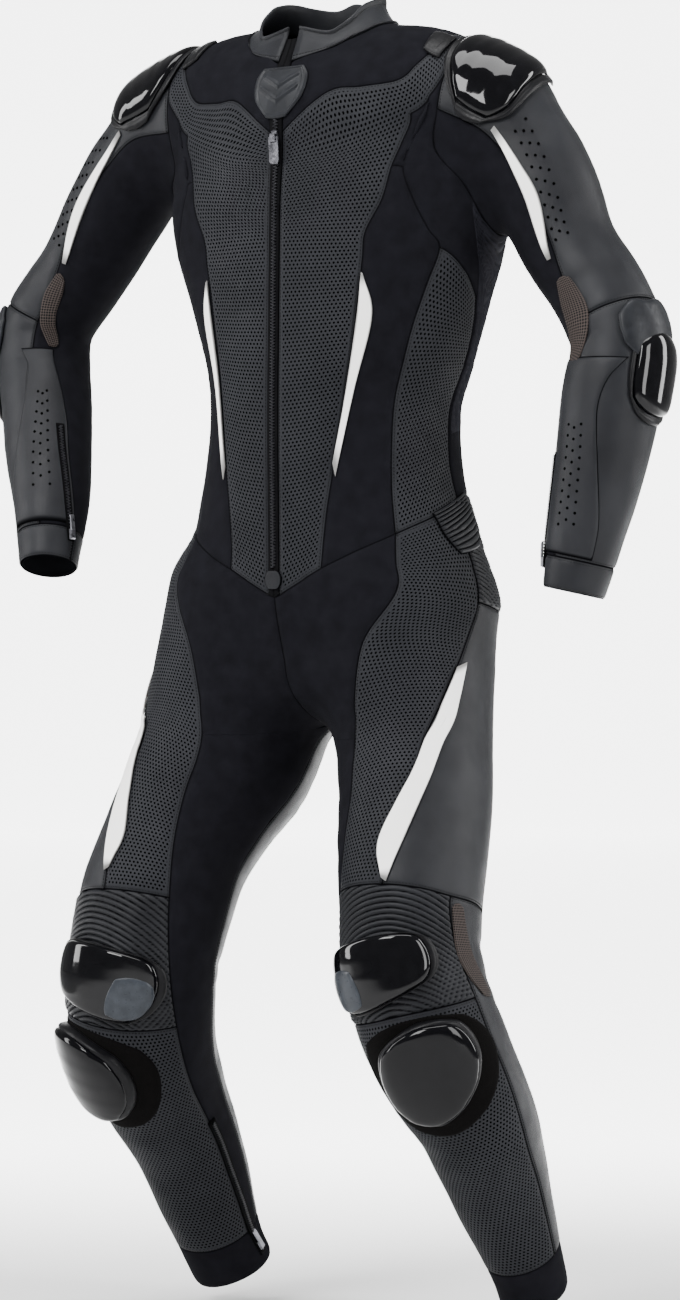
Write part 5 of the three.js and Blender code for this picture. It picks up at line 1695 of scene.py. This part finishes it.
def vent_holes(name, line, side, rows, lift):
    """Staggered rows of punched holes, drawn as small dark discs."""
    places = []
    for j, (start, end) in enumerate(np.array(rows)):
        odd = j % 2
        t = (np.arange(VENT_COUNT - odd) + 0.5 * odd) / (VENT_COUNT - 0.5)
        places.extend(start + (end - start) * part for part in t)
    centres = on_limb(line, places, side)
    n = surface_normals(centres)
    side_way = unit(np.cross(n, np.array([0.2, 0.1, 1.0])))
    up_way = np.cross(n, side_way)
    turn = FULL_TURN * np.arange(VENT_CORNERS)[:, None] / VENT_CORNERS
    ring = (side_way[:, None] * np.cos(turn) + up_way[:, None] * np.sin(turn)) * VENT_RADIUS
    levels = [(centres + n * high)[:, None] + ring for high in (lift - VENT_HEIGHT, lift)]
    points = np.stack(levels, 1).reshape(-1, 3)
    disc = list(range(VENT_CORNERS))
    one = [disc[::-1], [VENT_CORNERS + i for i in disc]]
    for i, j in zip(disc, disc[1:] + disc[:1]):
        one.append([i, j, VENT_CORNERS + j, VENT_CORNERS + i])
    faces = [[2 * VENT_CORNERS * k + i for i in face] for k in range(len(centres)) for face in one]
    add_mesh(name, points, faces, (None, DARK_HOLE))


for label, side in SIDES:
    vent_holes(f"sleeve_vents_{label}", arms[label], side, SLEEVE_VENTS, 0.95)
    vent_holes(f"forearm_vents_{label}", arms[label], side, FOREARM_VENTS[label], 2.3)

for node in ("zip_slider", "zip_pull"):
    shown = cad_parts[node]
    for part in shown.material_slots:
        part.link = "OBJECT"
        part.material = METAL


# Studio, in metres: a pale floor running up into a pale backdrop, broad soft lights
VIEW_TURN = math.radians(32)
FLOOR_Z = -1.352
FLOOR_START, FLOOR_END = -24.0, 12.0
CURVE_RADIUS = 2.0
WALL_TOP = 8.0
HALF_WIDTH = 16.0
BACKDROP_GLOW = 4.4
LIGHT_AIM = Vector((0, 0, -0.62))
# Each light's place to the right, toward the camera and up, its size and its power
LIGHTS = {
    "key_light": ((-1.9, 2.6, 1.7), (1.4, 1.8), 230),
    "fill_light": ((2.6, 2.2, 0.3), (1.0, 2.2), 110),
    "side_light_left": ((-3.0, -0.3, 0.3), (0.6, 2.6), 90),
    "side_light_right": ((3.0, -0.5, 0.4), (0.6, 2.6), 90),
    "top_light": ((0.0, 0.5, 2.4), (2.4, 1.2), 110),
}
back = Vector((-math.sin(VIEW_TURN), math.cos(VIEW_TURN), 0))
right = Vector((math.cos(VIEW_TURN), math.sin(VIEW_TURN), 0))


def link(name, data):
    obj = bpy.data.objects.new(name, data)
    bpy.context.scene.collection.objects.link(obj)
    return obj


def paper():
    """Pale paper that glows behind the suit."""
    look = Look("studio_paper", (0.86, 0.86, 0.86), 0.85)
    shade = look.noise(3.0).spread(0.3, 0.7)
    x, y, _ = look.axes(look.place())
    behind = y * back.y + x * back.x
    wide = (x * right.x + y * right.y).math("ABSOLUTE")
    glow = behind.spread(0.2, 1.8, smooth=True) * wide.spread(1.6, 4.0, 1.0, 0.0, True) * BACKDROP_GLOW
    colour = look.mix(shade, (0.85, 0.85, 0.85), (0.88, 0.88, 0.88))
    look.set(Base_Color=colour, Emission_Strength=glow, Emission_Color=(1, 1, 1, 1))
    return look.material


def add_sweep():
    profile = [(FLOOR_START, 0.0), (FLOOR_END, 0.0)]
    for degrees in range(10, 91, 10):
        lean = math.radians(degrees)
        profile.append((FLOOR_END + CURVE_RADIUS * math.sin(lean), CURVE_RADIUS * (1 - math.cos(lean))))
    profile.append((FLOOR_END + CURVE_RADIUS, WALL_TOP))
    points = []
    for distance, height in profile:
        for across in (-HALF_WIDTH, HALF_WIDTH):
            points.append(back * distance + right * across + Vector((0, 0, FLOOR_Z + height)))
    faces = [[2 * i, 2 * i + 1, 2 * i + 3, 2 * i + 2] for i in range(len(profile) - 1)]
    mesh = bpy.data.meshes.new("studio_sweep")
    mesh.from_pydata([tuple(p) for p in points], [], faces)
    mesh.polygons.foreach_set("use_smooth", [True] * len(mesh.polygons))
    mesh.materials.append(paper())
    sweep = link("studio_sweep", mesh)


def add_lights():
    for name, (place, size, power) in LIGHTS.items():
        data = bpy.data.lights.new(name, "AREA")
        data.shape = "RECTANGLE"
        data.size, data.size_y = size
        data.energy = power
        lamp = link(name, data)
        lamp.location = right * place[0] - back * place[1] + Vector((0, 0, place[2]))
        lamp.rotation_euler = (LIGHT_AIM - lamp.location).to_track_quat("-Z", "Y").to_euler()
    world = bpy.data.worlds.new("studio_world")
    world.use_nodes = True
    air = world.node_tree.nodes["Background"]
    air.inputs["Color"].default_value = (1, 1, 1, 1)
    air.inputs["Strength"].default_value = 0.3
    bpy.context.scene.world = world


def add_camera():
    """The photograph's camera: level, at the distance and height fitted to it."""
    lens = bpy.data.cameras.new("photo_camera")
    lens.lens = 120
    lens.sensor_fit = "VERTICAL"
    lens.sensor_height = 36
    lens.sensor_width = 36
    lens.clip_end = 60
    camera = link("photo_camera", lens)
    camera.location = right * 0.004 - back * 4.5327 + Vector((0, 0, -0.645))
    camera.rotation_euler = back.to_track_quat("-Z", "Y").to_euler()
    bpy.context.scene.camera = camera


add_sweep()
add_lights()
add_camera()
